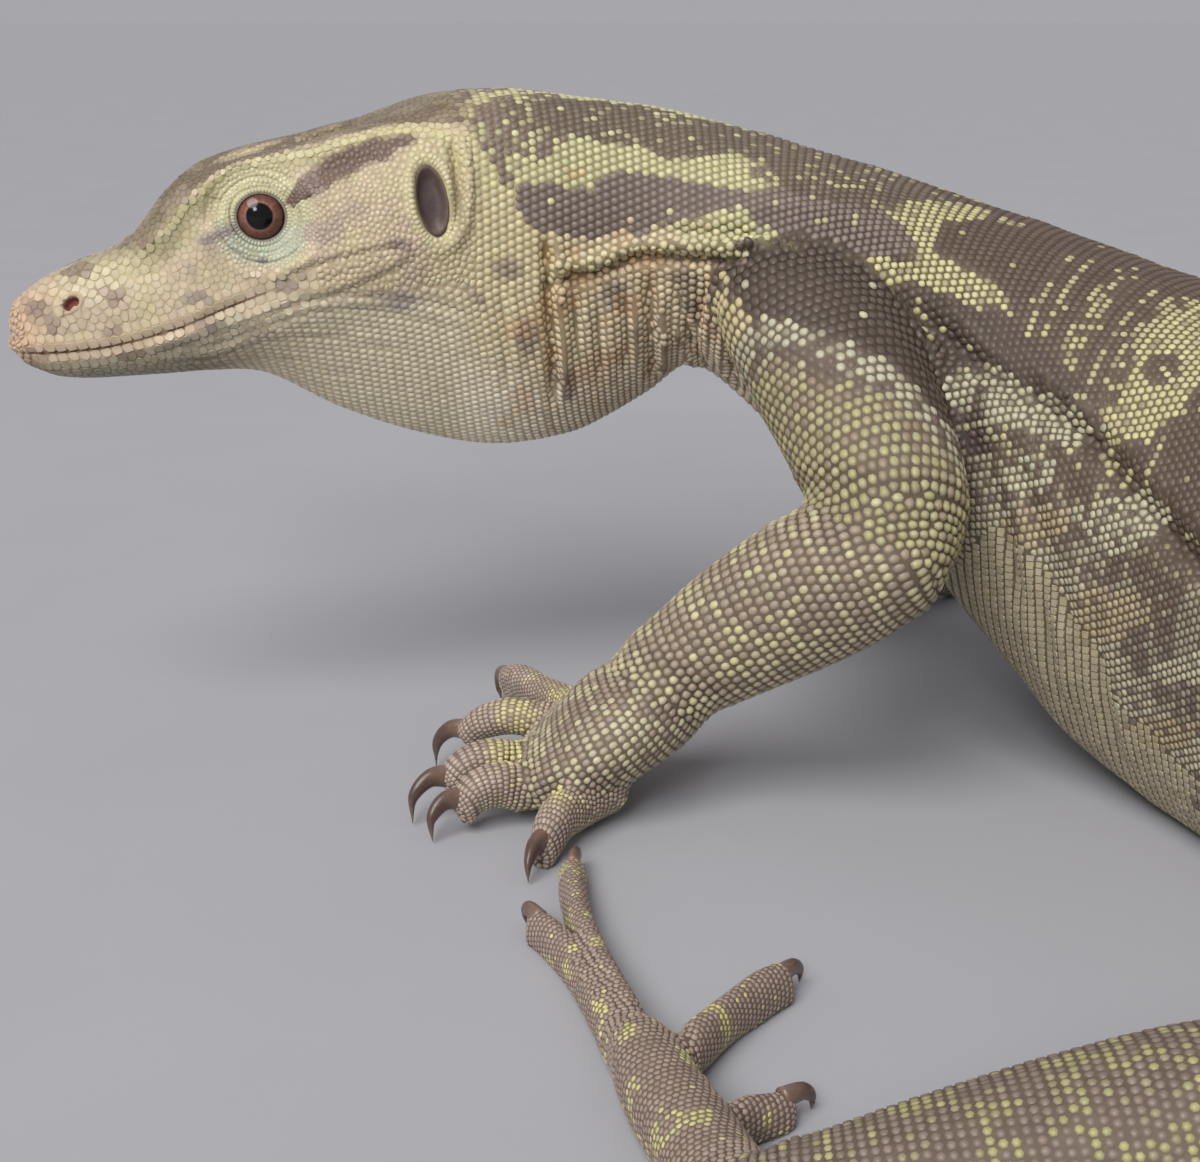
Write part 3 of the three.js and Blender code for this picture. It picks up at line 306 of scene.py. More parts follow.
def ring_mesh(rings):
    """Closed mesh from rings of points, each as many as the one before or half as many."""
    v, f, start = [], [], []
    n = 0
    for r in rings:
        start.append(n)
        v.append(r)
        n += len(r)
    for k in range(len(rings) - 1):
        a, b, na, nb = start[k], start[k + 1], len(rings[k]), len(rings[k + 1])
        j = np.arange(na)
        if na == nb:
            q0, q1, q2, q3 = a + j, a + (j + 1) % na, b + (j + 1) % nb, b + j
            f += [np.c_[q0, q1, q2], np.c_[q0, q2, q3]]
        else:
            j = np.arange(nb)
            f0, f1, f2 = a + 2 * j, a + 2 * j + 1, a + (2 * j + 2) % na
            c0, c1 = b + j, b + (j + 1) % nb
            f += [np.c_[f0, f1, c0], np.c_[f1, c1, c0], np.c_[f1, f2, c1]]
    for k, back in ((0, True), (len(rings) - 1, False)):
        m = len(rings[k])
        v.append(rings[k].mean(0)[None] if True else None)
        j = start[k] + np.arange(m)
        t = np.c_[j, np.roll(j, -1), np.full(m, n)]
        f.append(t[:, ::-1] if back else t)
        n += 1
    v, f = np.concatenate(v), np.concatenate(f)
    e = v[f]
    if np.einsum("ij,ij->i", e[:, 0], np.cross(e[:, 1], e[:, 2])).sum() < 0:
        f = f[:, ::-1]
    return v, f


def mesh_from(name, v, f, scale=1.0):
    me = bpy.data.meshes.new(name)
    me.vertices.add(len(v))
    me.vertices.foreach_set("co", (np.asarray(v, np.float32) * scale).ravel())
    f = np.asarray(f, np.int32)
    me.loops.add(f.size)
    me.loops.foreach_set("vertex_index", f.ravel())
    me.polygons.add(len(f))
    me.polygons.foreach_set("loop_start", np.arange(0, f.size, f.shape[1], dtype=np.int32))
    me.polygons.foreach_set("loop_total", np.full(len(f), f.shape[1], np.int32))
    me.update(calc_edges=True)
    return me


def object_from(name, me):
    ob = bpy.data.objects.new(name, me)
    bpy.context.scene.collection.objects.link(ob)
    return ob


def steps(*zones):
    out = []
    for a, b, d in zones:
        out.append(np.linspace(a, b, max(2, int(round((b - a) / d)) + 1))[:-1])
    return np.concatenate(out + [[zones[-1][1]]])


SRC_P, SRC_K, SRC_I, SRC_T = [], [], [], []  # every grid point with its loft, place along and place round


def body_rings():
    rings = []
    plan = [(steps((0.5, 8, 0.6), (8, 128, 0.9), (128, 190, 1.3)), 160), (steps((192.2, 620, 2.4)), 80), (steps((623, 1000, 3.6)), 40), (steps((1004.5, 1438.5, 4.6)), 20)]
    for ss, n in plan:
        u = np.arange(n) / n
        for s in ss:
            p = body_points(np.full(n, s), u, GROW, FLOOR)
            rings.append(p)
            SRC_P.append(p)
            SRC_K.append(np.full(n, -1))
            SRC_I.append(np.full(n, s))
            SRC_T.append(u)
    return rings


def limb_rings(k, rows, sole, rnd, n, step):
    last = rows[-1, 0]
    mid = through(rows, np.linspace(0, last, 60))[:, :3]
    length = np.linalg.norm(np.diff(mid, axis=0), axis=1)
    cum = np.r_[0, np.cumsum(length)]
    m = max(4, int(round(cum[-1] / step)))
    ii = np.interp(np.linspace(0, cum[-1], m + 1), cum, np.linspace(0, last, 60))
    ii = np.r_[-0.92, -0.72, -0.42, ii, last + 0.42, last + 0.72, last + 0.92]
    t = np.arange(n) / n
    rings = []
    for i in ii:
        p = limb_points(rows, np.full(n, i), t, GROW, FLOOR, sole, rnd)
        rings.append(p)
        SRC_P.append(p)
        SRC_K.append(np.full(n, k))
        SRC_I.append(np.full(n, i))
        SRC_T.append(t)
    return rings


def union(a, b):
    """a's mesh becomes a with b, and b goes."""
    m = a.modifiers.new("u", "BOOLEAN")
    m.operation, m.solver, m.object = "UNION", "MANIFOLD", b
    dg = bpy.context.evaluated_depsgraph_get()
    me = bpy.data.meshes.new_from_object(a.evaluated_get(dg))
    a.modifiers.clear()
    a.data = me
    bpy.data.objects.remove(b)


skin = object_from("skin", mesh_from("skin", *ring_mesh(body_rings())))
legs = {}
for _k, (key, rows, sole, rnd) in enumerate(LOFTS):
    kind = key[3:]
    n, st = {"up": (44, 2.2), "lo": (40, 2.2), "pa": (40, 1.8)}.get(kind, (18, 1.3))
    ob = object_from(key, mesh_from(key, *ring_mesh(limb_rings(_k, rows, sole, rnd, n, st))))
    if key[:2] in legs:
        union(legs[key[:2]], ob)
    else:
        legs[key[:2]] = ob
for leg in legs.values():
    union(skin, leg)
note("union")

me = skin.data
V = np.empty(len(me.vertices) * 3, np.float32)
me.vertices.foreach_get("co", V)
V = V.reshape(-1, 3).astype(float)
me.calc_loop_triangles()
F = np.empty(len(me.loop_triangles) * 3, np.int32)
me.loop_triangles.foreach_get("vertices", F)
F = F.reshape(-1, 3)

SRC_P, SRC_K, SRC_I, SRC_T = (np.concatenate(x) for x in (SRC_P, SRC_K, SRC_I, SRC_T))


def tree(p):
    t = KDTree(len(p))
    for j, q in enumerate(p.tolist()):
        t.insert(q, j)
    t.balance()
    return t


def nearest(t, p):
    r = [t.find(q) for q in p.tolist()]
    return np.array([x[1] for x in r]), np.array([x[2] for x in r])


src_tree = tree(SRC_P)
NEAR, gap = nearest(src_tree, V)
seam = gap > 2e-3


def edges_of(f):
    e = np.sort(np.concatenate([f[:, [0, 1]], f[:, [1, 2]], f[:, [2, 0]]]), axis=1)
    return np.unique(e, axis=0)


def smooth_by(v, e, w, turns, amount=0.6):
    """Moves each point towards the mean of its neighbours, by its own weight."""
    n = len(v)
    deg = np.bincount(e.ravel(), minlength=n)[:, None]
    for _ in range(turns):
        acc = np.stack([np.bincount(e[:, 0], v[e[:, 1], c], n) + np.bincount(e[:, 1], v[e[:, 0], c], n) for c in range(3)], 1)
        v = v + (acc / deg - v) * (w[:, None] * amount)
    return v


def normals_of(v, f):
    fn = np.cross(v[f[:, 1]] - v[f[:, 0]], v[f[:, 2]] - v[f[:, 0]])
    n = np.stack([sum(np.bincount(f[:, k], fn[:, c], len(v)) for k in range(3)) for c in range(3)], 1)
    return n / np.maximum(np.linalg.norm(n, axis=1), 1e-12)[:, None]


# Where lofts meet, the creases are rounded off: widely at shoulders and hips, finely between the digits.
if seam.any():
    kind = np.array([-1] + [{"up": 0, "lo": 1, "pa": 2}.get(k[3:], 3) for k, *_ in LOFTS])
    sp = V[seam]
    sk = kind[SRC_K[NEAR[seam]] + 1]
    reach = np.choose(sk + 1, [9.0, 9.0, 6.0, 4.0, 2.4])
    w = np.zeros(len(V))
    for r in np.unique(reach):
        t = tree(sp[reach == r])
        _, d = nearest(t, V)
        w = np.maximum(w, 1 - sstep(0.25 * r, r, d))
    low = V[:, 2] < 0.6
    z = V[:, 2].copy()
    V = smooth_by(V, edges_of(F), w, 22)
    V[low, 2] = z[low]
    V[:, 2] = np.maximum(V[:, 2], FLOOR)
    JOIN = w
else:
    JOIN = np.zeros(len(V))
note("skin %d vertices, %d faces" % (len(V), len(F)))
# ---------------------------------------------------------------- lids, nostrils, lips, ears and folds
EYE = dict(s=58.0, x=15.2, z=27.6, r=6.8, open=5.15)
EAR = dict(s=94.8, z=31.0, half_s=3.5, half_z=7.6)
NOSTRIL = dict(s=15.9, z=8.6, half_s=1.95, half_z=1.15, slant=math.radians(34))
MOUTH_LINE = np.array([(0, -2.9), (3.5, -2.8), (12.5, -2.3), (21.5, -1.3), (30.6, 0.7), (39.6, 3.6), (43.7, 5.3), (48.7, 7.6), (54.7, 9.9), (59.5, 11.8)])
CHEEK_LINE = np.array([(58.5, 11.4), (61.5, 13.6), (65.5, 16.2), (69.8, 17.7), (75.7, 19.3), (82.7, 20.9), (89.6, 21.6)])
JAW_LINE = np.array([(30, -3.6), (40.6, -0.4), (49.7, 2.4), (56.7, 5.2), (63.7, 8.4), (72, 10.6), (80, 13.6), (87.6, 17.2), (93.6, 21.6)])
BROW = np.array([(28, 16.8), (31.6, 19.5), (37.7, 24.6), (41.7, 30.0), (45.7, 33.6), (50.7, 37.0), (56.6, 39.0), (62.6, 40.2), (69.6, 41.6), (76, 43.4), (84, 45.2), (90, 46.0)])
# Folds of the left side as (length, place round) lines: depth of the groove, its half width, height of the lip beside it and on which side.
HFOLD = [(119.5, 0.312), (125.5, 0.299), (134.5, 0.293), (144.5, 0.273), (153, 0.262), (158.5, 0.251), (167.5, 0.230), (175.5, 0.208), (179.5, 0.204), (183.0, 0.211), (187.5, 0.207), (195.5, 0.195), (201.5, 0.191), (207.5, 0.188), (213.5, 0.188), (219.5, 0.191), (229, 0.197)]
FOLDS = [
    ([(120.5, 0.255), (122.0, 0.285), (122.3, 0.316), (123.5, 0.352), (124.5, 0.402), (125, 0.43)], 2.2, 1.0, 1.3),
    ([(147.0, 0.285), (147.5, 0.316), (148.5, 0.359), (149.5, 0.414), (150, 0.46)], 1.9, 1.0, 1.1),
    ([(154.0, 0.275), (155.0, 0.31), (156.5, 0.36), (158.5, 0.42)], 1.2, 0.9, 0.8),
    ([(161.5, 0.252), (160.5, 0.289), (159.5, 0.34), (159.0, 0.39), (162, 0.44), (165, 0.48)], 1.5, 1.2, 1.1),
    ([(176.0, 0.262), (173.5, 0.29), (170.0, 0.328), (168.5, 0.36), (169, 0.40), (172, 0.45)], 1.9, 1.1, 0.9),
    (HFOLD, 2.5, 1.0, 2.3),
    ([(148, 0.238), (157, 0.222), (165, 0.205), (172, 0.194), (180, 0.190)], 0.9, 0.9, 0.7),
    ([(238, 0.150), (252, 0.156), (266, 0.166), (282, 0.172)], 0.9, 1.2, 0.6),
    ([(196, 0.190), (210.5, 0.176), (231.5, 0.174), (251.5, 0.174), (276.5, 0.170), (301.5, 0.190), (329.5, 0.209), (352, 0.216)], 2.0, 2.0, 1.2),
    ([(99.0, 0.140), (100.2, 0.165), (100.9, 0.20), (100.6, 0.235), (99.2, 0.265), (95.5, 0.292)], 1.7, 0.9, 1.5),
    ([(134.5, 0.31), (135.5, 0.36), (136, 0.42)], 0.9, 0.9, 0.5),
    ([(110, 0.30), (112, 0.36), (113, 0.42)], 0.5, 0.9, 0.3),
    ([(238, 0.215), (249, 0.232), (258, 0.262), (263, 0.30)], 1.0, 1.9, 0.7),
    ([(246, 0.205), (260, 0.218), (274, 0.245), (284, 0.285)], 0.9, 1.9, 0.7),
    ([(268, 0.235), (272, 0.29), (275, 0.345)], 0.7, 1.7, 0.5),
    ([(290, 0.245), (294, 0.30), (297, 0.36)], 0.6, 1.7, 0.4),
    ([(38, 0.352), (52, 0.360), (70, 0.366), (88, 0.372), (104, 0.372)], 0.55, 0.6, 0.3),
    ([(34, 0.382), (52, 0.392), (70, 0.400), (90, 0.408)], 0.5, 0.6, 0.28),
    ([(36, 0.412), (50, 0.424), (64, 0.432), (80, 0.438)], 0.45, 0.6, 0.25),
    ([(66, 0.345), (80, 0.350), (94, 0.352), (108, 0.345)], 0.5, 0.6, 0.28),
    ([(128.5, 0.30), (129.5, 0.335), (130, 0.37)], 1.0, 0.8, 0.6),
    ([(141.0, 0.30), (142.0, 0.34), (142.6, 0.38), (143, 0.42)], 1.1, 0.8, 0.7),
    ([(152.0, 0.30), (153.0, 0.35), (154.6, 0.40)], 0.9, 0.8, 0.6),
]


def dense(line, step=0.6):
    a = np.array(line, float)
    p = body_points(a[:, 0], a[:, 1])
    cum = np.r_[0, np.cumsum(np.linalg.norm(np.diff(p, axis=0), axis=1))]
    m = max(4, int(cum[-1] / step))
    # A rounded line through the keys
    rows = np.c_[cum, a]
    return through(rows, np.linspace(0, cum[-1], m))


def seg_dist(p, line):
    """Distance in a plane from points p (n, 2) to a broken line, and the place along it."""
    best = np.full(len(p), 1e9)
    along = np.zeros(len(p))
    run = 0.0
    for a, b in zip(line[:-1], line[1:]):
        d = b - a
        l = np.hypot(*d)
        t = np.clip(((p - a) @ d) / l**2, 0, 1)
        q = np.hypot(*(p - a - t[:, None] * d).T)
        m = q < best
        best[m], along[m] = q[m], run + t[m] * l
        run += l
    return best, along, run


def refine(v, f, pick):
    """Halves the edges with pick(middle) true."""
    e = edges_of(f)
    want = pick(v[e].mean(1))
    bm = bmesh.new()
    vs = [bm.verts.new(p) for p in v]
    for t in f:
        bm.faces.new((vs[t[0]], vs[t[1]], vs[t[2]]))
    bm.verts.index_update()
    keys = set(map(tuple, e[want].tolist()))
    ed = [x for x in bm.edges if (min(x.verts[0].index, x.verts[1].index), max(x.verts[0].index, x.verts[1].index)) in keys]
    bmesh.ops.subdivide_edges(bm, edges=ed, cuts=1, use_grid_fill=True)
    bmesh.ops.triangulate(bm, faces=[x for x in bm.faces if len(x.verts) > 3])
    bm.verts.index_update()
    v = np.array([x.co[:] for x in bm.verts])
    f = np.array([[y.index for y in x.verts] for x in bm.faces])
    bm.free()
    return v, f


def lid_groove(r, ang):
    """Strength of the fine creases round the eye at a distance from its middle and an angle."""
    g = np.zeros(len(r))
    for k, (at, wide, deep) in enumerate(((6.45, 0.24, 1.0), (7.5, 0.26, 0.65), (8.55, 0.28, 0.85), (9.7, 0.32, 0.7), (10.9, 0.34, 0.55))):
        rk = at * (1 + 0.035 * np.sin(ang + 2.4 * k) + 0.02 * np.sin(3 * ang + 1.7 * k) + 0.05 * (k > 1) * np.maximum(0, -np.cos(ang - 0.5)))
        g += deep * np.exp(-(((r - rk) / wide) ** 2)) * (0.45 + 0.55 * np.sin(ang * 0.5 + 1.9 * k) ** 2)
    return g


def eye_rho(q):
    return np.hypot((q[:, 0] - EYE["s"]) / 1.04, q[:, 2] - EYE["z"])


def is_head(v):
    q = head_local(v)
    return (q[:, 0] < 134) & (q[:, 0] > -3) & (np.abs(q[:, 1]) < 42) & (q[:, 2] > -45)


_fold_s = [dense(line) for line, *_ in FOLDS]


def near_flank(p):
    lines = np.concatenate([body_points(x[x[:, 0] > 190][:, 0], x[x[:, 0] > 190][:, 1]) for x in _fold_s if (x[:, 0] > 190).any()] + [body_points(x[x[:, 0] > 190][:, 0], 1 - x[x[:, 0] > 190][:, 1]) for x in _fold_s if (x[:, 0] > 190).any()])
    m = (p[:, 2] > 20) & (p[:, 0] < 250)
    out = np.zeros(len(p), bool)
    _, d = nearest(tree(lines), p[m])
    out[m] = d < 4.5
    return out


V0, JOIN0 = V, JOIN
V, F = refine(V, F, lambda p: (is_head(p) & (np.abs(head_local(p)[:, 1]) > 9) & (eye_rho(head_local(p)) < 13.5)) | (is_head(p) & (np.hypot(head_local(p)[:, 0] - 15.9, head_local(p)[:, 2] - 8.6) < 4.5) & (np.abs(head_local(p)[:, 1]) > 4)) | near_flank(p))
V, F = refine(V, F, lambda p: is_head(p) & (np.abs(head_local(p)[:, 1]) > 9) & (eye_rho(head_local(p)) < 11.6) & (eye_rho(head_local(p)) > 3.9) | (is_head(p) & (np.hypot(head_local(p)[:, 0] - 15.9, head_local(p)[:, 2] - 8.6) < 3.2) & (np.abs(head_local(p)[:, 1]) > 4)))
note("refined to %d faces" % len(F))
NEAR, _ = nearest(src_tree, V)
_i, _ = nearest(tree(V0), V)
JOIN = JOIN0[_i]


def bump(v, kk, ss):
    """How far the surface moves outward at v, from folds, ridges, lips and ears; kk the loft and ss the length from the snout."""
    d = np.zeros(len(v))
    body = (kk < 0) & (ss < 400)
    idx = np.where(body)[0]
    if not len(idx):
        return d
    p = v[idx]
    out = np.zeros(len(p))
    for (line, depth, half, lip), a in zip(FOLDS, _fold_s):
        for mirror in (False, True):
            u = 1 - a[:, 1] if mirror else a[:, 1]
            m = (ss[idx] > a[:, 0].min() - 12) & (ss[idx] < a[:, 0].max() + 12)
            if not m.any():
                continue
            c = body_points(a[:, 0] + (1.5 if mirror else 0), u, GROW)
            j, dist = nearest(tree(c), p[m])
            end = np.minimum(j, len(c) - 1 - j) * 0.6
            fade = sstep(0, 8, end)
            up = p[m][:, 2] - c[j][:, 2]
            tang = np.gradient(c, axis=0)[j]
            side = np.where(np.abs(tang[:, 2]) > np.hypot(tang[:, 0], tang[:, 1]), p[m][:, 0] - c[j][:, 0], up)
            gain = 1.15 if a[0, 0] > 110 and a[0, 0] < 200 else 1.0
            lipd = gain * lip * np.exp(-(((dist - 2.4 * half) / (1.3 * half)) ** 2)) * np.where(side > 0, 1.0, 0.35)
            out[m] += fade * (-depth * gain * np.exp(-((dist / half) ** 2) / 2) + lipd)
    q = head_local(p)
    head = (q[:, 0] < 118) & (q[:, 0] > -3)
    h = q[head]
    ax = np.abs(h[:, 1])
    o = np.zeros(len(h))
    # Mouth: a groove between a fuller upper lip and a lower lip set in a little
    dist, along, run = seg_dist(h[:, [0, 2]], MOUTH_LINE)
    zl = np.interp(h[:, 0], MOUTH_LINE[:, 0], MOUTH_LINE[:, 1])
    over = h[:, 2] - zl
    side = (ax > 3.0) | (h[:, 0] < 6)
    fade = (1 - sstep(run - 10, run, along)) * side * (np.abs(over) < 6)
    o += fade * (-0.75 * np.exp(-((dist / 0.42) ** 2)) + np.where(over > 0, 0.42, -0.05) * np.exp(-(((dist - 1.5) / 1.3) ** 2)))
    # Crease from the corner of the mouth over the cheek, and the edge of the jaw up to under the ear
    for line, depth, wide, lipup in ((CHEEK_LINE, 0.62, 0.55, 0.30), (JAW_LINE, 0.60, 0.75, 0.42)):
        dist, along, run = seg_dist(h[:, [0, 2]], line)
        over = h[:, 2] - np.interp(h[:, 0], line[:, 0], line[:, 1])
        ends = sstep(0, 7, along) * (1 - sstep(run - 7, run, along)) * (ax > 8)
        o += ends * (-depth * np.exp(-((dist / wide) ** 2)) + lipup * (over > 0) * np.exp(-(((dist - 1.6) / 1.1) ** 2)))
    # Brow ridge over the eye and along the snout, the socket set in under it and the crown dished between the ridges
    dist, along, run = seg_dist(h[:, [0, 2]], BROW)
    fade = sstep(0, 8, along) * (1 - sstep(run - 14, run, along)) * (ax > 8)
    o += fade * 1.25 * np.exp(-((dist / 1.35) ** 2))
    zb = np.interp(h[:, 0], BROW[:, 0], BROW[:, 1])
    o -= fade * (h[:, 2] < zb) * 0.9 * np.exp(-(((dist - 4.4) / 2.2) ** 2))
    o -= sstep(34, 46, h[:, 0]) * (1 - sstep(78, 96, h[:, 0])) * (h[:, 2] > 22) * 1.2 * np.exp(-((ax / 8.5) ** 4))
    # Keel of the snout's upper edge from the brow to over the nostril
    dist, along, run = seg_dist(h[:, [0, 2]], np.array([(15, 13.2), (23, 15.6), (29, 17.6)]))
    o += (ax > 5) * 0.5 * np.exp(-((dist / 1.6) ** 2)) * sstep(0, 4, along)
    # Hollow behind the brow's end and a soft bulge of jaw muscle before the ear
    o += (ax > 10) * 0.9 * np.exp(-(((h[:, 0] - 82) / 9) ** 2) - ((h[:, 2] - 21) / 8) ** 2)
    # Sunken temple over the streak
    o -= (ax > 10) * 0.7 * np.exp(-(((h[:, 0] - 78) / 9) ** 2) - ((h[:, 2] - 38) / 3.6) ** 2)
    # Hollow between the eye and the nostril
    o -= (ax > 5) * 0.7 * np.exp(-(((h[:, 0] - 38) / 9) ** 2) - ((h[:, 2] - 15) / 4.5) ** 2)
    # Swelling round the nostril, and its rim
    ca, sa = math.cos(NOSTRIL["slant"]), math.sin(NOSTRIL["slant"])
    a, b = h[:, 0] - NOSTRIL["s"], h[:, 2] - NOSTRIL["z"]
    e = np.hypot((a * ca + b * sa) / NOSTRIL["half_s"], (-a * sa + b * ca) / NOSTRIL["half_z"])
    on = ax > 4
    o += on * (0.6 * np.exp(-((np.hypot(a, b) / 4.5) ** 2)) + 0.35 * np.exp(-(((e - 1.45) / 0.35) ** 2)))
    o -= on * 2.0 * (1 - sstep(0.62, 1.12, e))
    # Ear: a flat-floored oval opening with a rim
    a, b = h[:, 0] - EAR["s"] + 0.12 * (h[:, 2] - EAR["z"]), h[:, 2] - EAR["z"]
    e = np.hypot(a / EAR["half_s"], b / EAR["half_z"])
    on = ax > 12
    o += on * (0.75 * np.exp(-(((e - 1.32) / 0.24) ** 2)) - 2.5 * (1 - sstep(0.80, 1.08, e)))
    # The tip of the lower jaw stands behind the upper
    o -= 0.9 * (1 - sstep(4, 12, h[:, 0])) * sstep(-2.9, -4.4, h[:, 2])
    # Snout: flattened between raised sides
    o -= (ax < 5) * 0.3 * np.exp(-(((h[:, 0] - 26) / 9) ** 2)) * (h[:, 2] > 10)
    out[head] += o
    # Loose skin: low waves over the neck and the flank
    wob = vnoise(p, 9.0, 5) - 0.5
    out += 0.9 * wob * sstep(108, 135, ss[idx])
    # and finer upright wrinkles on the sides of the folded neck
    uu = SRC_T[NEAR[idx]]
    aa_ = np.where(uu <= 0.5, uu, 1 - uu)
    wr = vnoise(np.c_[ss[idx] / 2.6, aa_ * 9.0, np.sign(uu - 0.5)], 1.0, 15) - 0.5
    out += 0.45 * wr * sstep(112, 124, ss[idx]) * (1 - sstep(176, 190, ss[idx])) * sstep(0.21, 0.27, aa_) * (1 - sstep(0.40, 0.46, aa_))
    d[idx] = out
    return d


def lids(v, on):
    """Sets the skin round each eye: closed behind the eyeball, a margin lying on it, then low rings that fade out."""
    q = head_local(v)
    rho = eye_rho(q)
    side = np.sign(q[:, 1])
    m = on & (rho < 13.5) & (np.abs(q[:, 1]) > 8)
    r, x0 = rho[m], np.abs(q[m, 1])
    ang = np.arctan2(q[m, 2] - EYE["z"], q[m, 0] - EYE["s"])
    o = EYE["open"]
    # Pull the points nearest the opening onto two clean rings
    near_in, near_out = np.abs(r - (o - 0.12)) < 0.2, (r >= o + 0.08) & (r < o + 0.42)
    r2 = np.where(near_in, o - 0.12, np.where(near_out, o + 0.25, r))
    k = r2 / np.maximum(r, 1e-6)
    q[m, 0] = EYE["s"] + (q[m, 0] - EYE["s"]) * k
    q[m, 2] = EYE["z"] + (q[m, 2] - EYE["z"]) * k
    r = r2
    rim = EYE["x"] + math.sqrt(EYE["r"] ** 2 - o**2) + 0.55
    blend = sstep(o + 0.1, 11.5, r) ** 0.85
    fold = 0.14 - 0.50 * lid_groove(r, ang) * (0.75 + 0.25 * np.sin(ang - 1.9))
    x = rim * (1 - blend) + x0 * blend + fold * sstep(o + 0.3, o + 1.0, r) - 0.5 * np.exp(-(((r - 10.6) / 1.3) ** 2)) * (np.sin(ang) < 0.4)
    x = np.where(r < o + 0.02, np.minimum(x0, EYE["x"] + 4.38 - 2.2), x)
    q[m, 1] = side[m] * x
    v = v.copy()
    v[m] = head_world(q[m])
    return v


_kk, _ss = SRC_K[NEAR], SRC_I[NEAR]
N = normals_of(V, F)
BUMP = bump(V, _kk, _ss)
V = V + N * BUMP[:, None]
JOIN = np.maximum(JOIN, 0.5 * (np.abs(BUMP) > 1.6) * (_ss > 106) * (_ss < 380) * (_kk < 0))
V = lids(V, (_kk < 0) & (_ss < 90))
V[:, 2] = np.maximum(V[:, 2], FLOOR)
N = normals_of(V, F)
note("head, lids and folds")
# ---------------------------------------------------------------- markings, on the length from the snout and the place round the section
# Outlines of the dark patches and pale bands of the left side of neck and trunk, (length, place round).
DARK = [
    ("blotch", [(114.5, 0.215), (120.5, 0.211), (132.5, 0.215), (133.5, 0.203), (140.5, 0.18), (149.5, 0.168), (159.5, 0.156), (164.5, 0.16), (172.5, 0.145), (183.5, 0.117), (191.5, 0.113), (199.5, 0.105), (208.5, 0.09), (213.5, 0.098), (217.5, 0.113), (216.5, 0.129), (206.5, 0.148), (197.5, 0.16), (189.5, 0.172), (178.5, 0.18), (170.5, 0.172), (162.5, 0.191), (152.5, 0.223), (144.5, 0.246), (133.5, 0.262), (126.5, 0.266), (121.5, 0.262), (116.5, 0.25), (114.5, 0.234)]),
    ("nape", [(112, 0.10), (120, 0.07), (133.0, 0.035), (146.5, 0.015), (157.5, 0.03), (177.5, 0.0), (197.5, -0.01), (214.5, 0.0), (222, 0.02), (211.5, 0.07), (209.5, 0.09), (193.5, 0.105), (184.5, 0.109), (177.5, 0.09), (170.5, 0.094), (161.5, 0.125), (150.5, 0.145), (145.5, 0.133), (134.5, 0.146), (125.5, 0.146), (119.5, 0.150), (114.5, 0.140)]),
    ("armpit", [(163.5, 0.242), (172.5, 0.215), (179.5, 0.203), (184.5, 0.207), (178.5, 0.242), (173.5, 0.281), (166.5, 0.305), (162.5, 0.28)]),
    ("shoulder", [(186.5, 0.211), (195.5, 0.199), (207.5, 0.18), (221.5, 0.156), (229.5, 0.145), (247.5, 0.129), (255.5, 0.137), (268.5, 0.145), (275.5, 0.148), (270.5, 0.16), (259.5, 0.168), (243.5, 0.172), (236.5, 0.184), (230.5, 0.203), (228.5, 0.223), (216.5, 0.219), (206.5, 0.238), (197.5, 0.246), (187.5, 0.254), (179.5, 0.25)]),
    ("back", [(223.5, 0.066), (231.5, 0.035), (240.5, 0.02), (249.5, -0.02), (274.5, -0.03), (281.5, 0.03), (283.5, 0.06), (282.5, 0.094), (283.5, 0.125), (283.5, 0.141), (275.5, 0.148), (268.5, 0.145), (255.5, 0.137), (245.5, 0.125), (242.5, 0.113), (233.5, 0.109), (223.5, 0.113), (220.5, 0.094)]),
    ("pit", [(230.5, 0.219), (240.5, 0.207), (248.5, 0.207), (252.5, 0.211), (243.5, 0.234), (234.5, 0.246), (229.5, 0.242)]),
]
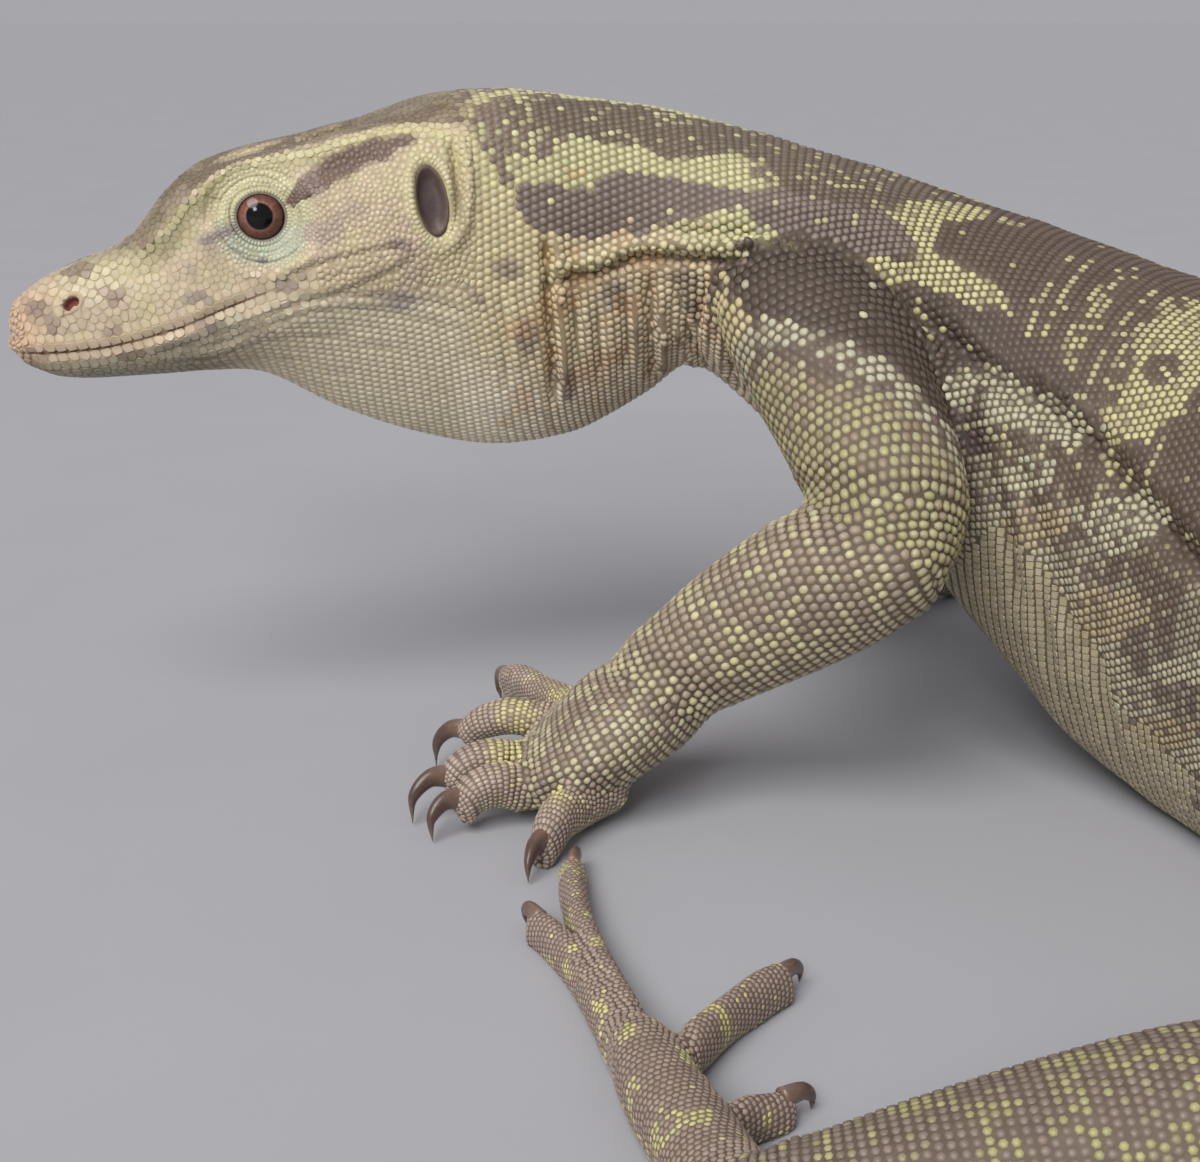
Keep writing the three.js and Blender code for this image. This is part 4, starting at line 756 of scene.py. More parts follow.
PALE = [
    ("net", [(209.5, 0.09), (213.5, 0.059), (221.5, 0.031), (229.5, 0.004), (231.5, 0.031), (223.5, 0.066), (220.5, 0.094), (223.5, 0.113), (233.5, 0.109), (242.5, 0.113), (245.5, 0.125), (235.5, 0.137), (221.5, 0.148), (207.5, 0.176), (192.5, 0.195), (185.5, 0.203), (178, 0.20), (181.5, 0.18), (198.5, 0.16), (214.5, 0.141), (218.5, 0.121), (215.5, 0.102)]),
    ("ring", [(230.5, 0.203), (236.5, 0.184), (243.5, 0.172), (251.5, 0.168), (259.5, 0.168), (270.5, 0.160), (282.5, 0.164), (273.5, 0.18), (257.5, 0.191), (248.5, 0.203), (234.5, 0.215)]),
    ("eyespot", [(283, 0.03), (292, 0.035), (301, 0.07), (304, 0.121), (301.5, 0.145), (297.5, 0.16), (288.5, 0.163), (277.5, 0.156), (283.5, 0.141), (282.5, 0.113), (281.5, 0.08)]),
    ("collar", [(160, 0.262), (162.8, 0.275), (162.8, 0.305), (168, 0.312), (173.5, 0.296), (172, 0.318), (167, 0.338), (160.5, 0.350), (158.0, 0.34), (158.6, 0.29)]),
    ("flank1", [(249.5, 0.242), (253.5, 0.219), (264.5, 0.195), (271.5, 0.188), (269.5, 0.209), (262.5, 0.223)]),
    ("flank2", [(279.5, 0.215), (285.5, 0.203), (290.5, 0.191), (301.5, 0.184), (310.5, 0.184), (312.5, 0.195), (304.5, 0.215), (294.5, 0.227), (286.5, 0.222)]),
    ("flank3", [(254.5, 0.254), (261.5, 0.23), (276.5, 0.213), (280.5, 0.219), (272.5, 0.240), (265.5, 0.256), (257.5, 0.264)]),
    ("flank4", [(285.5, 0.262), (290.5, 0.246), (301.5, 0.238), (315.5, 0.238), (314.5, 0.25), (301.5, 0.27), (288.5, 0.283)]),
    ("flank5", [(313.5, 0.281), (320.5, 0.27), (337.5, 0.254), (339.5, 0.268), (323.5, 0.279)]),
    ("flank6", [(303.5, 0.316), (315.5, 0.301), (336.5, 0.293), (328.5, 0.312), (311.5, 0.324)]),
]
SMUDGE = [(111.5, 0.297, 4.6, 2.6), (138.5, 0.312, 4.2, 3.3), (156.5, 0.289, 2.6, 4.4), (157.5, 0.324, 3.4, 2.7), (117.5, 0.352, 2.8, 4.0), (144.5, 0.355, 1.2, 2.8), (89.5, 0.352, 4.0, 2.0), (63.5, 0.293, 2.2, 1.6), (104, 0.33, 3.5, 2.2), (128, 0.40, 2.5, 4.0)]

_cs = np.arange(0, TAIL_TIP + 1, 6.0)
_cr = body_points(np.repeat(_cs, 64), np.tile(np.arange(64) / 64, len(_cs))).reshape(len(_cs), 64, 3)
_cl = np.linalg.norm(_cr - np.roll(_cr, -1, axis=1), axis=2).sum(1)


def belly_edge(s):
    """Where the long plates of the belly start, the share of the half round from the middle of the back."""
    return np.interp(s, [206, 212, 236, 252, 262, 276, 290, 307, 331, 400, 530, 552, 558], [0.51, 0.44, 0.33, 0.262, 0.248, 0.262, 0.280, 0.307, 0.326, 0.345, 0.365, 0.45, 0.51]) + 0.005 * np.sin(s / 4.7) * np.sin(s / 11.3)


def girth(s):
    return np.interp(s, _cs, _cl)


def srgb(c):
    c = np.asarray(c, float) / 255
    return np.where(c <= 0.04045, c / 12.92, ((c + 0.055) / 1.055) ** 2.4)


def poly_sd(x, y, poly):
    """Signed distance from points to a closed outline, inside below 0."""
    px, py = poly[:, 0], poly[:, 1]
    qx, qy = np.roll(px, -1), np.roll(py, -1)
    best = np.full(len(x), 1e9)
    inside = np.zeros(len(x), bool)
    for a, b, c, d in zip(px, py, qx, qy):
        ex, ey = c - a, d - b
        l2 = max(ex * ex + ey * ey, 1e-9)
        t = np.clip(((x - a) * ex + (y - b) * ey) / l2, 0, 1)
        best = np.minimum(best, np.hypot(x - a - t * ex, y - b - t * ey))
        cross = ((b > y) != (d > y)) & (x < ex * (y - b) / (ey if abs(ey) > 1e-9 else 1e-9) + a)
        inside ^= cross
    return np.where(inside, -best, best)


def mix(a, b, k):
    k = np.clip(np.asarray(k, float), 0, 1)[:, None]
    return a * (1 - k) + b * k


def flat(n, c):
    return np.repeat(srgb(c)[None], n, 0)


def paint_body(s, u, p):
    """Colours of pale and dark scales at a place, and the share of pale ones."""
    n = len(s)
    left = (u <= 0.5)
    a = np.where(left, u, 1 - u)
    jig = np.where(left, 2.2, 9.0)
    C = girth(s)
    x = s + np.where(left, 0.0, 5.0) + (fbm(p, 7.0, 21) - 0.5) * jig
    y = a * C + (fbm(p, 7.0, 22) - 0.5) * jig
    area = {}

    def sd(name, pts):
        q = np.array(pts, float)
        q = np.c_[q[:, 0], q[:, 1] * girth(q[:, 0])]
        out = np.full(n, 50.0)
        m = (x > q[:, 0].min() - 8) & (x < q[:, 0].max() + 8)
        if m.any():
            out[m] = poly_sd(x[m], y[m], q)
        return out

    dark = {k: sd(k, v) for k, v in DARK}
    pale = {k: sd(k, v) for k, v in PALE}
    nz, nf = fbm(p, 16.0, 31), vnoise(p, 3.2, 33)
    # ground colours
    trunk = sstep(176, 200, s + (0.25 - a) * 60)
    low = sstep(-0.014, 0.016, a + (nz - 0.5) * 0.02 - np.where((s < 212) | (s > 545), 0.35, belly_edge(s)))
    L = np.ones(n)
    light = flat(n, (198, 188, 150))
    darkc = flat(n, (124, 109, 98))
    # throat and sides of the neck: cream to straw, warmer in the folds
    thr = sstep(0.27, 0.36, a)
    light = mix(light, flat(n, (204, 191, 158)), thr * (1 - trunk))
    light = mix(light, flat(n, (232, 223, 200)), sstep(0.36, 0.43, a) * (1 - trunk))
    light = mix(light, flat(n, (196, 180, 146)), (1 - thr) * sstep(0.45, 0.7, nz) * (s > 104))
    light = mix(light, flat(n, (204, 186, 160)), sstep(118, 140, s) * (1 - trunk) * sstep(0.2, 0.27, a) * 0.6)
    # pale bands are yellow-green on the nape, straw on the trunk
    back = (s > 84) & (s < 128) & (a + (nz - 0.5) * 0.08 < np.interp(s, [84, 104, 112, 128], [0.09, 0.15, 0.21, 0.16]))
    L = np.where(back, 0.18 + 0.5 * sstep(0.48, 0.62, fbm(p, 5.0, 34)), L)
    light = np.where(back[:, None], srgb((166, 156, 120))[None], light)
    stripe = sstep(0.25, 0.2, a) * sstep(100, 112, s) * (1 - sstep(176, 196, s))
    light = mix(light, flat(n, (190, 186, 143)), stripe)
    light = mix(light, flat(n, (176, 168, 126)), trunk * (1 - low))
    light = mix(light, flat(n, (146, 139, 119)), trunk * sstep(0.19, 0.24, a) * (1 - low))
    light = mix(light, flat(n, (162, 151, 125)), trunk * low)
    darkc = mix(darkc, flat(n, (98, 83, 72)), trunk)
    darkc = mix(darkc, flat(n, (108, 95, 85)), trunk * sstep(0.2, 0.26, a))
    # share of pale scales
    g = np.where(a < 0.2, 0.08, 0.26)
    L = L * (1 - trunk) + trunk * g
    rowno = np.round((s - 196) / 2.12)
    third = (hash01(rowno, 3.0) < 0.36) * 1.0
    rows = third * sstep(0.40, 0.52, vnoise(np.c_[s / 26.0, a * C / 13.0, s * 0], 1.0, 41))
    dots = trunk * (1 - low) * (0.05 + 0.62 * rows) * (a > 0.015)
    L = np.where(trunk > 0.5, np.maximum(L * np.where(a < 0.2, 0.25, 0.8), dots), L)
    # along the trunk behind the photo: rows of ocelli, each a pale ring round a dark middle
    k = np.round((x - 292) / 37.0)
    row = 292 + 37.0 * k
    oc = np.full(n, 50.0)
    for c, r in ((0.0, 7.5), (0.085, 8.2), (0.165, 7.6), (0.24, 6.4), (0.305, 5.2)):
        wobble = (hash01(k, c * 91, left) - 0.5) * 5
        rr = r * (0.8 + 0.4 * hash01(k, c * 57, left + 2))
        d = np.hypot((x - row - wobble) * 1.15, y - (c + (0.0 if c == 0 else 0.012) * (hash01(k, c * 13, left) - 0.5)) * C)
        oc = np.minimum(oc, np.abs(d - rr * 0.62) - rr * 0.42)
    onrow = (k >= 1) & (s < 575) & (s > 306)
    L = np.where(onrow & (oc < 0), 0.94, L)
    # tail: dark bands split by narrow straw ones, with spots on the dark
    tail = sstep(560, 590, s)
    period = np.interp(s, [560, 760, 1100, 1440], [36, 34, 30, 24])
    ph = (x - 570) / period
    band = np.abs(ph - np.round(ph)) * period
    tb = band + (fbm(p, 8.0, 52) - 0.5) * 7
    L = L * (1 - tail) + tail * np.where(tb < 5.6, 0.92, np.where((np.abs(tb - 12.5) < 1.6) & (a < 0.33), 0.45, 0.05))
    light = mix(light, flat(n, (186, 176, 130)), tail)
    darkc = mix(darkc, flat(n, (98, 83, 72)), tail)
    # belly: pale plates with dusky bars that come in from the sides
    barred = sstep(0.42, 0.5, fbm(np.c_[s * 1.0, a * 60, s * 0], 14.0, 61))
    L = np.where((low > 0.5) & (trunk > 0.5) & (tail < 0.5), 1.0 - 0.5 * barred * (s > 330) * (a < 0.44), L)
    L = np.where((low > 0.5) & (tail >= 0.5), 0.85 - 0.5 * (tb > 9), L)
    near = sstep(-0.050, -0.012, a - belly_edge(s) + (nz - 0.5) * 0.05) * (s > 225) * (s < 545) * (low < 0.5)
    L = np.where(near > 0.4, np.maximum(L, 0.9 * near), L)
    light = mix(light, flat(n, (178, 170, 144)), near * 0.8)
    # outlined patches
    for kx, v in dark.items():
        share = {"nape": 0.15, "blotch": 0.04, "back": 0.02, "shoulder": 0.02, "armpit": 0.04, "pit": 0.15}[kx]
        inn = v + (nf - 0.5) * 2.2 < 0
        L = np.where(inn, share, L)
        c = {"nape": (111, 98, 85), "blotch": (125, 112, 105), "armpit": (120, 103, 90), "shoulder": (88, 75, 68), "back": (98, 82, 71), "pit": (84, 70, 68)}[kx]
        darkc = np.where(inn[:, None], srgb(c)[None], darkc)
    streaky = (dark["back"] < -1) & (s > 250) & (a > 0.03) & (hash01(rowno, 3.0) < 0.5)
    L = np.where(streaky, 0.5, L)
    speck = (dark["shoulder"] < 0) & (np.hypot(x - 222, y - 0.178 * C) < 6)
    L = np.where(speck, 0.45, L)
    for kx, v in pale.items():
        inn = v + (nf - 0.5) * 2.4 < 0
        L = np.where(inn, 0.93 if "flank" not in kx else 0.86, L)
        if kx in ("net", "eyespot"):
            light = np.where(inn[:, None], srgb((188, 181, 134))[None], light)
        if kx in ("ring", "flank1", "flank2", "flank5"):
            light = np.where(inn[:, None], srgb((176, 171, 144))[None], light)
        if kx in ("flank3", "flank4", "flank6"):
            light = np.where(inn[:, None], srgb((164, 149, 118))[None], light)
    hole = np.hypot(x - 244, y - 0.196 * C) < 3.4
    L = np.where(hole & (pale["ring"] < 2), 0.35, L)
    hole = np.hypot((x - 291) * 0.8, y - 0.107 * C) < 4.6
    L = np.where(hole, 0.3, L)
    # bright upper edge of the long fold, tan in its hollow, and the collar under the armpit's patch
    fold = np.array(HFOLD)
    fd, along, run = seg_dist(np.c_[s, a * C], np.c_[fold[:, 0], fold[:, 1] * girth(fold[:, 0])])
    above = a * C < np.interp(s, fold[:, 0], fold[:, 1] * girth(fold[:, 0]))
    on_ = np.exp(-((fd / 2.6) ** 2)) * above * sstep(0, 10, along) * (1 - sstep(run - 22, run - 6, along))
    light = mix(light, flat(n, (208, 199, 154)), on_)
    L = np.maximum(L, (on_ > 0.35) * 0.97)
    warm = np.exp(-((fd / 1.6) ** 2)) * ~above * (s < 180) * sstep(0, 6, along)
    light = mix(light, flat(n, (172, 136, 92)), warm * 0.6)
    fd, along, run = seg_dist(np.c_[s, a * C], np.c_[[121.5, 122.2, 123.5, 125], np.array([0.31, 0.35, 0.39, 0.42]) * C.mean()])
    light = mix(light, flat(n, (178, 142, 98)), np.exp(-((fd / 1.5) ** 2)) * 0.45)
    # grey-lilac smudges on throat and jaw
    for cs, ca, rs, ra in SMUDGE:
        d = np.hypot((s - cs) / rs, (a - ca) * C / ra) + (nf - 0.5) * 0.7
        k = (1 - sstep(0.55, 1.25, d)) * np.where(left, 1.0, 0.8)
        light = mix(light, flat(n, (136, 122, 112)), k * 0.75)
    # fine dusky rows and warm grooves on the loose skin
    light = mix(light, flat(n, (196, 150, 104)), (1 - trunk) * (s > 112) * sstep(0.6, 0.8, vnoise(p, 6.0, 71)) * 0.35 * (a > 0.19))
    return light, darkc, L


def paint_head(s, u, p, light, darkc, L):
    q = head_local(p)
    n = len(s)
    hs, ax, hz = q[:, 0], np.abs(q[:, 1]), q[:, 2]
    on = (1 - sstep(98, 108, s))
    nz, nf = fbm(p, 7.0, 81), vnoise(p, 2.4, 83)
    base = flat(n, (189, 175, 147))
    base = mix(base, flat(n, (190, 172, 152)), sstep(0.45, 0.62, nz) * 0.7)
    base = mix(base, flat(n, (194, 184, 147)), sstep(0.5, 0.66, fbm(p, 5.0, 84)) * 0.6 * (hz > 0))
    # lower jaw and throat are creamier
    zl = np.interp(hs, MOUTH_LINE[:, 0], MOUTH_LINE[:, 1])
    base = mix(base, flat(n, (207, 196, 169)), sstep(0, 3, zl - hz) * (hs < 80))
    base = mix(base, flat(n, (212, 203, 176)), sstep(56, 80, hs) * sstep(16, 4, hz))
    # peach snout tip, grey-brown top of the snout and crown
    base = mix(base, flat(n, (192, 164, 138)), (1 - sstep(5, 17, hs + nf * 4)) * 0.9)
    top = sstep(13, 7, ax + (nf - 0.5) * 3) * (hz > 9)
    base = mix(base, flat(n, (157, 148, 119)), top * sstep(10, 22, hs) * 0.8)
    over = hz - np.interp(hs, BROW[:, 0], BROW[:, 1])
    over = np.maximum(over, np.where((ax < 12) & (over > -4), 12 - ax, -9))
    crown = sstep(0.4, 1.7, over + (nf - 0.5) * 1.0) * sstep(25, 29, hs + (nf - 0.5) * 4) * (hz > 16)
    base = mix(base, flat(n, (111, 97, 81)), crown * (0.95 - 0.25 * sstep(0.5, 0.65, nz)))
    base = mix(base, flat(n, (152, 141, 107)), crown * sstep(0.52, 0.64, fbm(p, 6.0, 88)) * sstep(66, 88, hs) * 0.6)
    # yellow-green brow stripe from the lores over the eye to above the ear
    stripe = np.array([(31.6, 18.3), (37, 22.6), (41.5, 28.4), (45.5, 32.2), (50.7, 35.9), (56.6, 38.0), (62.6, 39.3), (69.6, 40.9), (76, 43.2), (84, 45.6), (92, 46.4), (98, 44.5), (101.5, 39)])
    d, along, run = seg_dist(np.c_[hs, hz], stripe)
    base = mix(base, flat(n, (194, 187, 145)), np.exp(-((d / 2.3) ** 2)) * (ax > 9) * sstep(0, 6, along) * sstep(1.3, 0.3, over))
    d, along, run = seg_dist(np.c_[hs, hz], np.array([(19, 12.5), (26, 15.0), (33, 19.0), (42, 25.0)]))
    base = mix(base, flat(n, (188, 180, 143)), np.exp(-((d / 3.6) ** 2)) * (ax > 6) * 0.75)
    # dark streak behind the eye
    d, along, run = seg_dist(np.c_[hs, hz], np.array([(62.8, 30.0), (66.6, 33.0), (70.5, 35.6), (74, 37.6), (78, 39.4), (82, 41.2), (87, 43.2), (91, 44.2)]))
    w = np.interp(along, [0, 4, 9, 16, 24, run], [0.8, 1.3, 2.3, 2.6, 2.3, 1.4])
    streak = (1 - sstep(w * 0.8, w * 1.25, d + (nf - 0.5) * 1.7)) * (ax > 12)
    # lids: pale green, bluer below
    rho = eye_rho(q)
    lid = (1 - sstep(8.5, 12.5, rho)) * (ax > 9)
    ang = np.arctan2(hz - EYE["z"], hs - EYE["s"])
    lc = mix(flat(n, (196, 193, 156)), flat(n, (176, 184, 164)), sstep(0.3, -0.7, np.sin(ang)) * 0.9)
    base = mix(base, lc, lid)
    # the fine creases round the eye are painted darker: painted shade in the creases
    base = mix(base, flat(n, (140, 134, 120)), np.clip(lid_groove(rho, ang), 0, 1) * lid * 0.5)
    d, along, run = seg_dist(np.c_[hs, hz], np.array([(45.5, 22.4), (49, 24.0), (52.8, 25.6)]))
    base = mix(base, flat(n, (134, 122, 122)), np.exp(-((d / 1.25) ** 2)) * 0.85 * (ax > 9))
    base = mix(base, flat(n, (112, 92, 84)), streak * 0.95)
    base = mix(base, flat(n, (150, 136, 118)), (1 - sstep(5.3, 5.9, rho)) * (ax > 9) * 0.5)
    # nostril rim, spots and smudges along the lips
    ca, sa = math.cos(NOSTRIL["slant"]), math.sin(NOSTRIL["slant"])
    A, B = hs - NOSTRIL["s"], hz - NOSTRIL["z"]
    e = np.hypot((A * ca + B * sa) / NOSTRIL["half_s"], (-A * sa + B * ca) / NOSTRIL["half_z"])
    base = mix(base, flat(n, (200, 184, 156)), np.exp(-(((e - 1.6) / 0.5) ** 2)) * (ax > 4))
    base = mix(base, flat(n, (74, 44, 40)), (1 - sstep(0.85, 1.15, e)) * (ax > 4))
    spots = (
        (43.7, 10.0, 4.8, 2.2, (148, 133, 124), 0.9), (44.9, 3.9, 4.2, 1.7, (142, 130, 124), 0.95), (25.5, 9.8, 2.2, 1.6, (132, 112, 98), 0.9),
        (23.0, 11.6, 2.4, 1.2, (150, 130, 112), 0.7), (24.5, 2.6, 1.6, 1.6, (138, 116, 104), 0.9), (7.5, 6.9, 3.0, 2.8, (138, 120, 106), 0.95),
        (11.5, 3.4, 1.9, 2.2, (142, 124, 114), 0.85), (17.0, 15.4, 5.5, 1.9, (136, 121, 104), 0.9), (62.8, 12.9, 2.8, 2.4, (146, 131, 124), 0.85),
        (65.7, 15.4, 2.4, 1.6, (146, 131, 124), 0.8), (71, 24.5, 6.0, 3.0, (168, 152, 142), 0.75), (87.6, 21.9, 3.6, 1.5, (140, 124, 116), 0.85),
        (26.6, -2.8, 4.4, 1.4, (150, 128, 110), 0.8), (87.6, 8.9, 5.0, 2.2, (156, 148, 144), 0.8), (57.5, 18.2, 1.4, 0.9, (120, 108, 100), 0.7),
        (78, 29, 5, 3, (172, 156, 140), 0.6), (31, 22.6, 4.2, 1.8, (132, 116, 98), 0.8), (56, 2.0, 4.0, 1.6, (168, 152, 138), 0.6),
    )
    for cs, cz, rs, rz, c, k in spots:
        d = np.hypot((hs - cs) / rs, (hz - cz) / rz) + (nf - 0.5) * 0.9
        base = mix(base, flat(n, c), (1 - sstep(0.55, 1.15, d)) * k * (ax > 2))
    # the front of the lower jaw just under the mouth's line is painted darker: painted shade under the upper lip
    base = base * (1 - 0.54 * sstep(1.2, 3.8, zl - hz) * (1 - sstep(40, 60, hs)))[:, None]
    # shade under the edge of the jaw and the chin, and the peach of the lips
    zj = np.interp(hs, JAW_LINE[:, 0], JAW_LINE[:, 1])
    base = base * (1 - 0.09 * sstep(0.2, 3.0, zj - hz) * (1 - sstep(6, 14, zj - hz)) * (hs < 94) * (ax > 4))[:, None]
    base = mix(base, flat(n, (196, 170, 144)), np.exp(-(((hz - zl) / 2.4) ** 2)) * sstep(66, 40, hs) * 0.5)
    base = mix(base, flat(n, (128, 112, 94)), np.exp(-(((hs - 100.6) / 1.5) ** 2) - ((hz - 29) / 6.5) ** 2) * 0.8 * (ax > 12))
    # ear rim
    a2, b2 = hs - EAR["s"] + 0.12 * (hz - EAR["z"]), hz - EAR["z"]
    e = np.hypot(a2 / EAR["half_s"], b2 / EAR["half_z"])
    base = mix(base, flat(n, (198, 190, 152)), (1 - sstep(1.25, 1.75, e)) * (ax > 12))
    light = mix(light, base, on)
    darkc = mix(darkc, base * 0.8, on)
    L = L * (1 - on) + on
    return light, darkc, L


def cap_edge(t):
    """Where the dark of the back ends on the upper arm, round it from its front."""
    return np.interp(t % 1.0, [0, 0.06, 0.10, 0.146, 0.19, 0.235, 0.26, 0.30, 0.33, 0.36, 0.45, 0.60, 0.75, 0.9, 1.0], [1.25, 1.45, 1.65, 2.2, 2.5, 2.8, 2.85, 3.2, 3.6, 3.8, 3.6, 2.8, 1.8, 1.3, 1.25])


def arm_front(i, t):
    """The pale patch on the front of the arm's root."""
    return ((t % 1.0 < 0.055) | (t % 1.0 > 0.90)) & (i < 1.5)


def arm_cap(loft, i, t):
    """1 on the smooth dark skin over the shoulder, 0 elsewhere."""
    arm = np.zeros(len(i), bool)
    for k, (key, *_) in enumerate(LOFTS):
        if key in ("fl_up", "fr_up"):
            arm |= loft == k
    return np.where(arm & ~arm_front(i, t), sstep(0.15, -0.15, i - cap_edge(t)), 0.0)


def paint_limb(key, i, t, p):
    """The same for a limb's loft."""
    n = len(i)
    hind, kind = key[0] == "h", key[3:]
    nz, nf = fbm(p, 9.0, 91), vnoise(p, 3.0, 93)
    up = np.sin(t * 2 * np.pi)
    if kind == "up":
        light, darkc, L = flat(n, (162, 156, 115)), flat(n, (140, 126, 103)), 0.78 - 0.2 * (nz < 0.42)
        if not hind:
            past = i - cap_edge(t) + (nf - 0.5) * 0.35
            cap = sstep(0.12, -0.12, past)
            light = mix(light, flat(n, (176, 172, 146)), sstep(1.0, 0.5, past))
            L = np.where(past < 0.55, 0.72, np.where((past < 1.0) & (t < 0.2), 0.35, L))
            darkc = mix(darkc, flat(n, (104, 90, 79)), sstep(1.1, 0.6, past))
            darkc = mix(darkc, flat(n, (87, 74, 65)), cap)
            L = L * (1 - cap * 0.985)
            fr = arm_front(i, t)
            L = np.where(fr, 0.95, L)
            light = np.where(fr[:, None], srgb((190, 178, 136))[None], light)
    elif kind == "lo":
        light, darkc, L = flat(n, (181, 174, 135)), flat(n, (151, 137, 117)), 0.14 + 0.62 * sstep(0.5, 0.58, fbm(p, 5.5, 94))
    elif kind == "pa":
        light, darkc, L = flat(n, (178, 171, 140)), flat(n, (142, 127, 111)), 0.20 + 0.6 * sstep(0.48, 0.56, fbm(p, 5.0, 95))
    else:
        light, darkc, L = flat(n, (200, 190, 138)), flat(n, (160, 142, 128)), 0.06 + 0.7 * (nz > 0.56)
        tip = sstep(0.55, 0.95, i / 3.0) if n else i
        light = mix(light, flat(n, (176, 160, 146)), tip * 0.9)
        darkc = mix(darkc, flat(n, (164, 146, 136)), tip)
    if hind:
        foot = kind not in ("up", "lo")
        light = mix(light, flat(n, (200, 194, 132)), np.full(n, 0.7))
        darkc = mix(darkc, flat(n, (156, 137, 126)), np.full(n, 0.8))
        L = np.where(sstep(0.54, 0.62, fbm(p, 5.0, 97)) > (0.85 if foot else 0.5), 0.85 if foot else 0.7, 0.02 if foot else 0.10) * np.ones(n)
    if hind and kind in ("up", "lo"):
        light, darkc = light * 0.60, darkc * 0.60
    under = sstep(-0.35, -0.8, up)
    light = mix(light, flat(n, (176, 166, 138)), under)
    L = L * (1 - under) + 0.85 * under
    return light, darkc, L * np.ones(n)


def ground(loft, i, t):
    """Colour of the skin between the scales, and how far it takes over from the scales' own colour."""
    n = len(i)
    body = loft < 0
    a = np.where(t % 1.0 <= 0.5, t % 1.0, 1 - t % 1.0)
    c = np.where(body[:, None], flat(n, (96, 81, 70)), flat(n, (121, 104, 92)))
    c = mix(c, flat(n, (84, 71, 62)), arm_cap(loft, i, t))
    low = body & (i > 209) & (i < 556) & (a > belly_edge(i))
    c = np.where(low[:, None], flat(n, (92, 80, 66)), c)
    hind = np.isin(loft, [k for k, x in enumerate(LOFTS) if x[0][0] == "h" and x[0][3:] not in ("up", "lo")])
    c = np.where(hind[:, None], flat(n, (134, 116, 105)), c)
    w = np.where(body, 0.22 * sstep(112, 130, i) + 0.50 * sstep(176, 200, i), 0.68)
    w = np.where(hind, 0.40, w)
    digit = np.isin(loft, [k for k, x in enumerate(LOFTS) if x[0][3:] not in ("up", "lo", "pa")])
    w = np.where(digit, 0.35, w)
    return c, w


def paint(loft, i, t, p):
    """Pale colour, dark colour and share of pale for points of any loft; loft -1 is the body."""
    light, darkc, L = np.zeros((len(i), 3)), np.zeros((len(i), 3)), np.zeros(len(i))
    m = loft < 0
    if m.any():
        a = paint_body(i[m], t[m], p[m])
        h = i[m] < 110
        b = [x.copy() for x in a]
        r = paint_head(i[m][h], t[m][h], p[m][h], a[0][h], a[1][h], a[2][h])
        for x, y in zip(b, r):
            x[h] = y
        light[m], darkc[m], L[m] = b
    for k in np.unique(loft[~m]) if (~m).any() else ():
        mm = loft == k
        light[mm], darkc[mm], L[mm] = paint_limb(LOFTS[int(k)][0], i[mm], t[mm], p[mm])
    return light, darkc, L
# ---------------------------------------------------------------- where the scales grow
skin_tree = BVHTree.FromPolygons(V.tolist(), F.tolist())


def on_skin(p):
    """Nearest place on the skin: point, smooth normal, face, distance."""
    hit = [skin_tree.find_nearest(q) for q in p.tolist()]
    loc = np.array([h[0][:] for h in hit])
    fi = np.array([h[2] for h in hit])
    dist = np.array([h[3] for h in hit])
    a, b, c = V[F[fi, 0]], V[F[fi, 1]], V[F[fi, 2]]
    v0, v1, v2 = b - a, c - a, loc - a
    d00, d01, d11 = (v0 * v0).sum(1), (v0 * v1).sum(1), (v1 * v1).sum(1)
    d20, d21 = (v2 * v0).sum(1), (v2 * v1).sum(1)
    den = np.maximum(d00 * d11 - d01 * d01, 1e-12)
    v = np.clip((d11 * d20 - d01 * d21) / den, 0, 1)
    w = np.clip((d00 * d21 - d01 * d20) / den, 0, 1)
    u = np.clip(1 - v - w, 0, 1)
    n = N[F[fi, 0]] * u[:, None] + N[F[fi, 1]] * v[:, None] + N[F[fi, 2]] * w[:, None]
    n /= np.maximum(np.linalg.norm(n, axis=1), 1e-9)[:, None]
    return loc, n, fi, dist


G = []  # groups of (points, loft, place along, place round, pitch, class)


def body_lattice(rows, a0, a1, around, cls, parity0=0, anchor=False):
    """Staggered rows round the body, counted both ways from the middle of the back; a0 to a1 the share of the half round."""
    m = 192
    u = np.arange(m + 1) / m * 0.5
    for side in (0, 1):
        uu = u if side == 0 else 1 - u
        ring = body_points(np.repeat(rows, m + 1), np.tile(uu, len(rows))).reshape(len(rows), m + 1, 3)
        seg = np.linalg.norm(np.diff(ring, axis=1), axis=2)
        for r, s in enumerate(rows):
            pit = around(s, u)
            w = np.r_[0, np.cumsum(seg[r] * 2 / (pit[1:] + pit[:-1]))]
            par = (r + parity0) % 2
            k = np.arange(0, int(w[-1]) + 2) + 0.5 * par
            if side == 1 and par == 0:
                k = k[1:]
            if anchor:
                k = np.interp(a0(s), u, w) + 0.5 + np.arange(0, int(w[-1]) + 2)
            k = k[k <= w[-1] + 0.25]
            a = np.interp(k, w, u)
            a = a[(a >= a0(s)) & (a <= a1(s))]
            if len(a):
                x = a if side == 0 else 1 - a
                G.append((np.full(len(a), -1), np.full(len(a), float(s)), x, np.interp(a, u, pit), np.full(len(a), cls)))


def rows_by(a, b, pitch):
    out = [a]
    while out[-1] < b:
        out.append(out[-1] + pitch(out[-1]))
    return np.array(out)


one = lambda x: (lambda s: x)
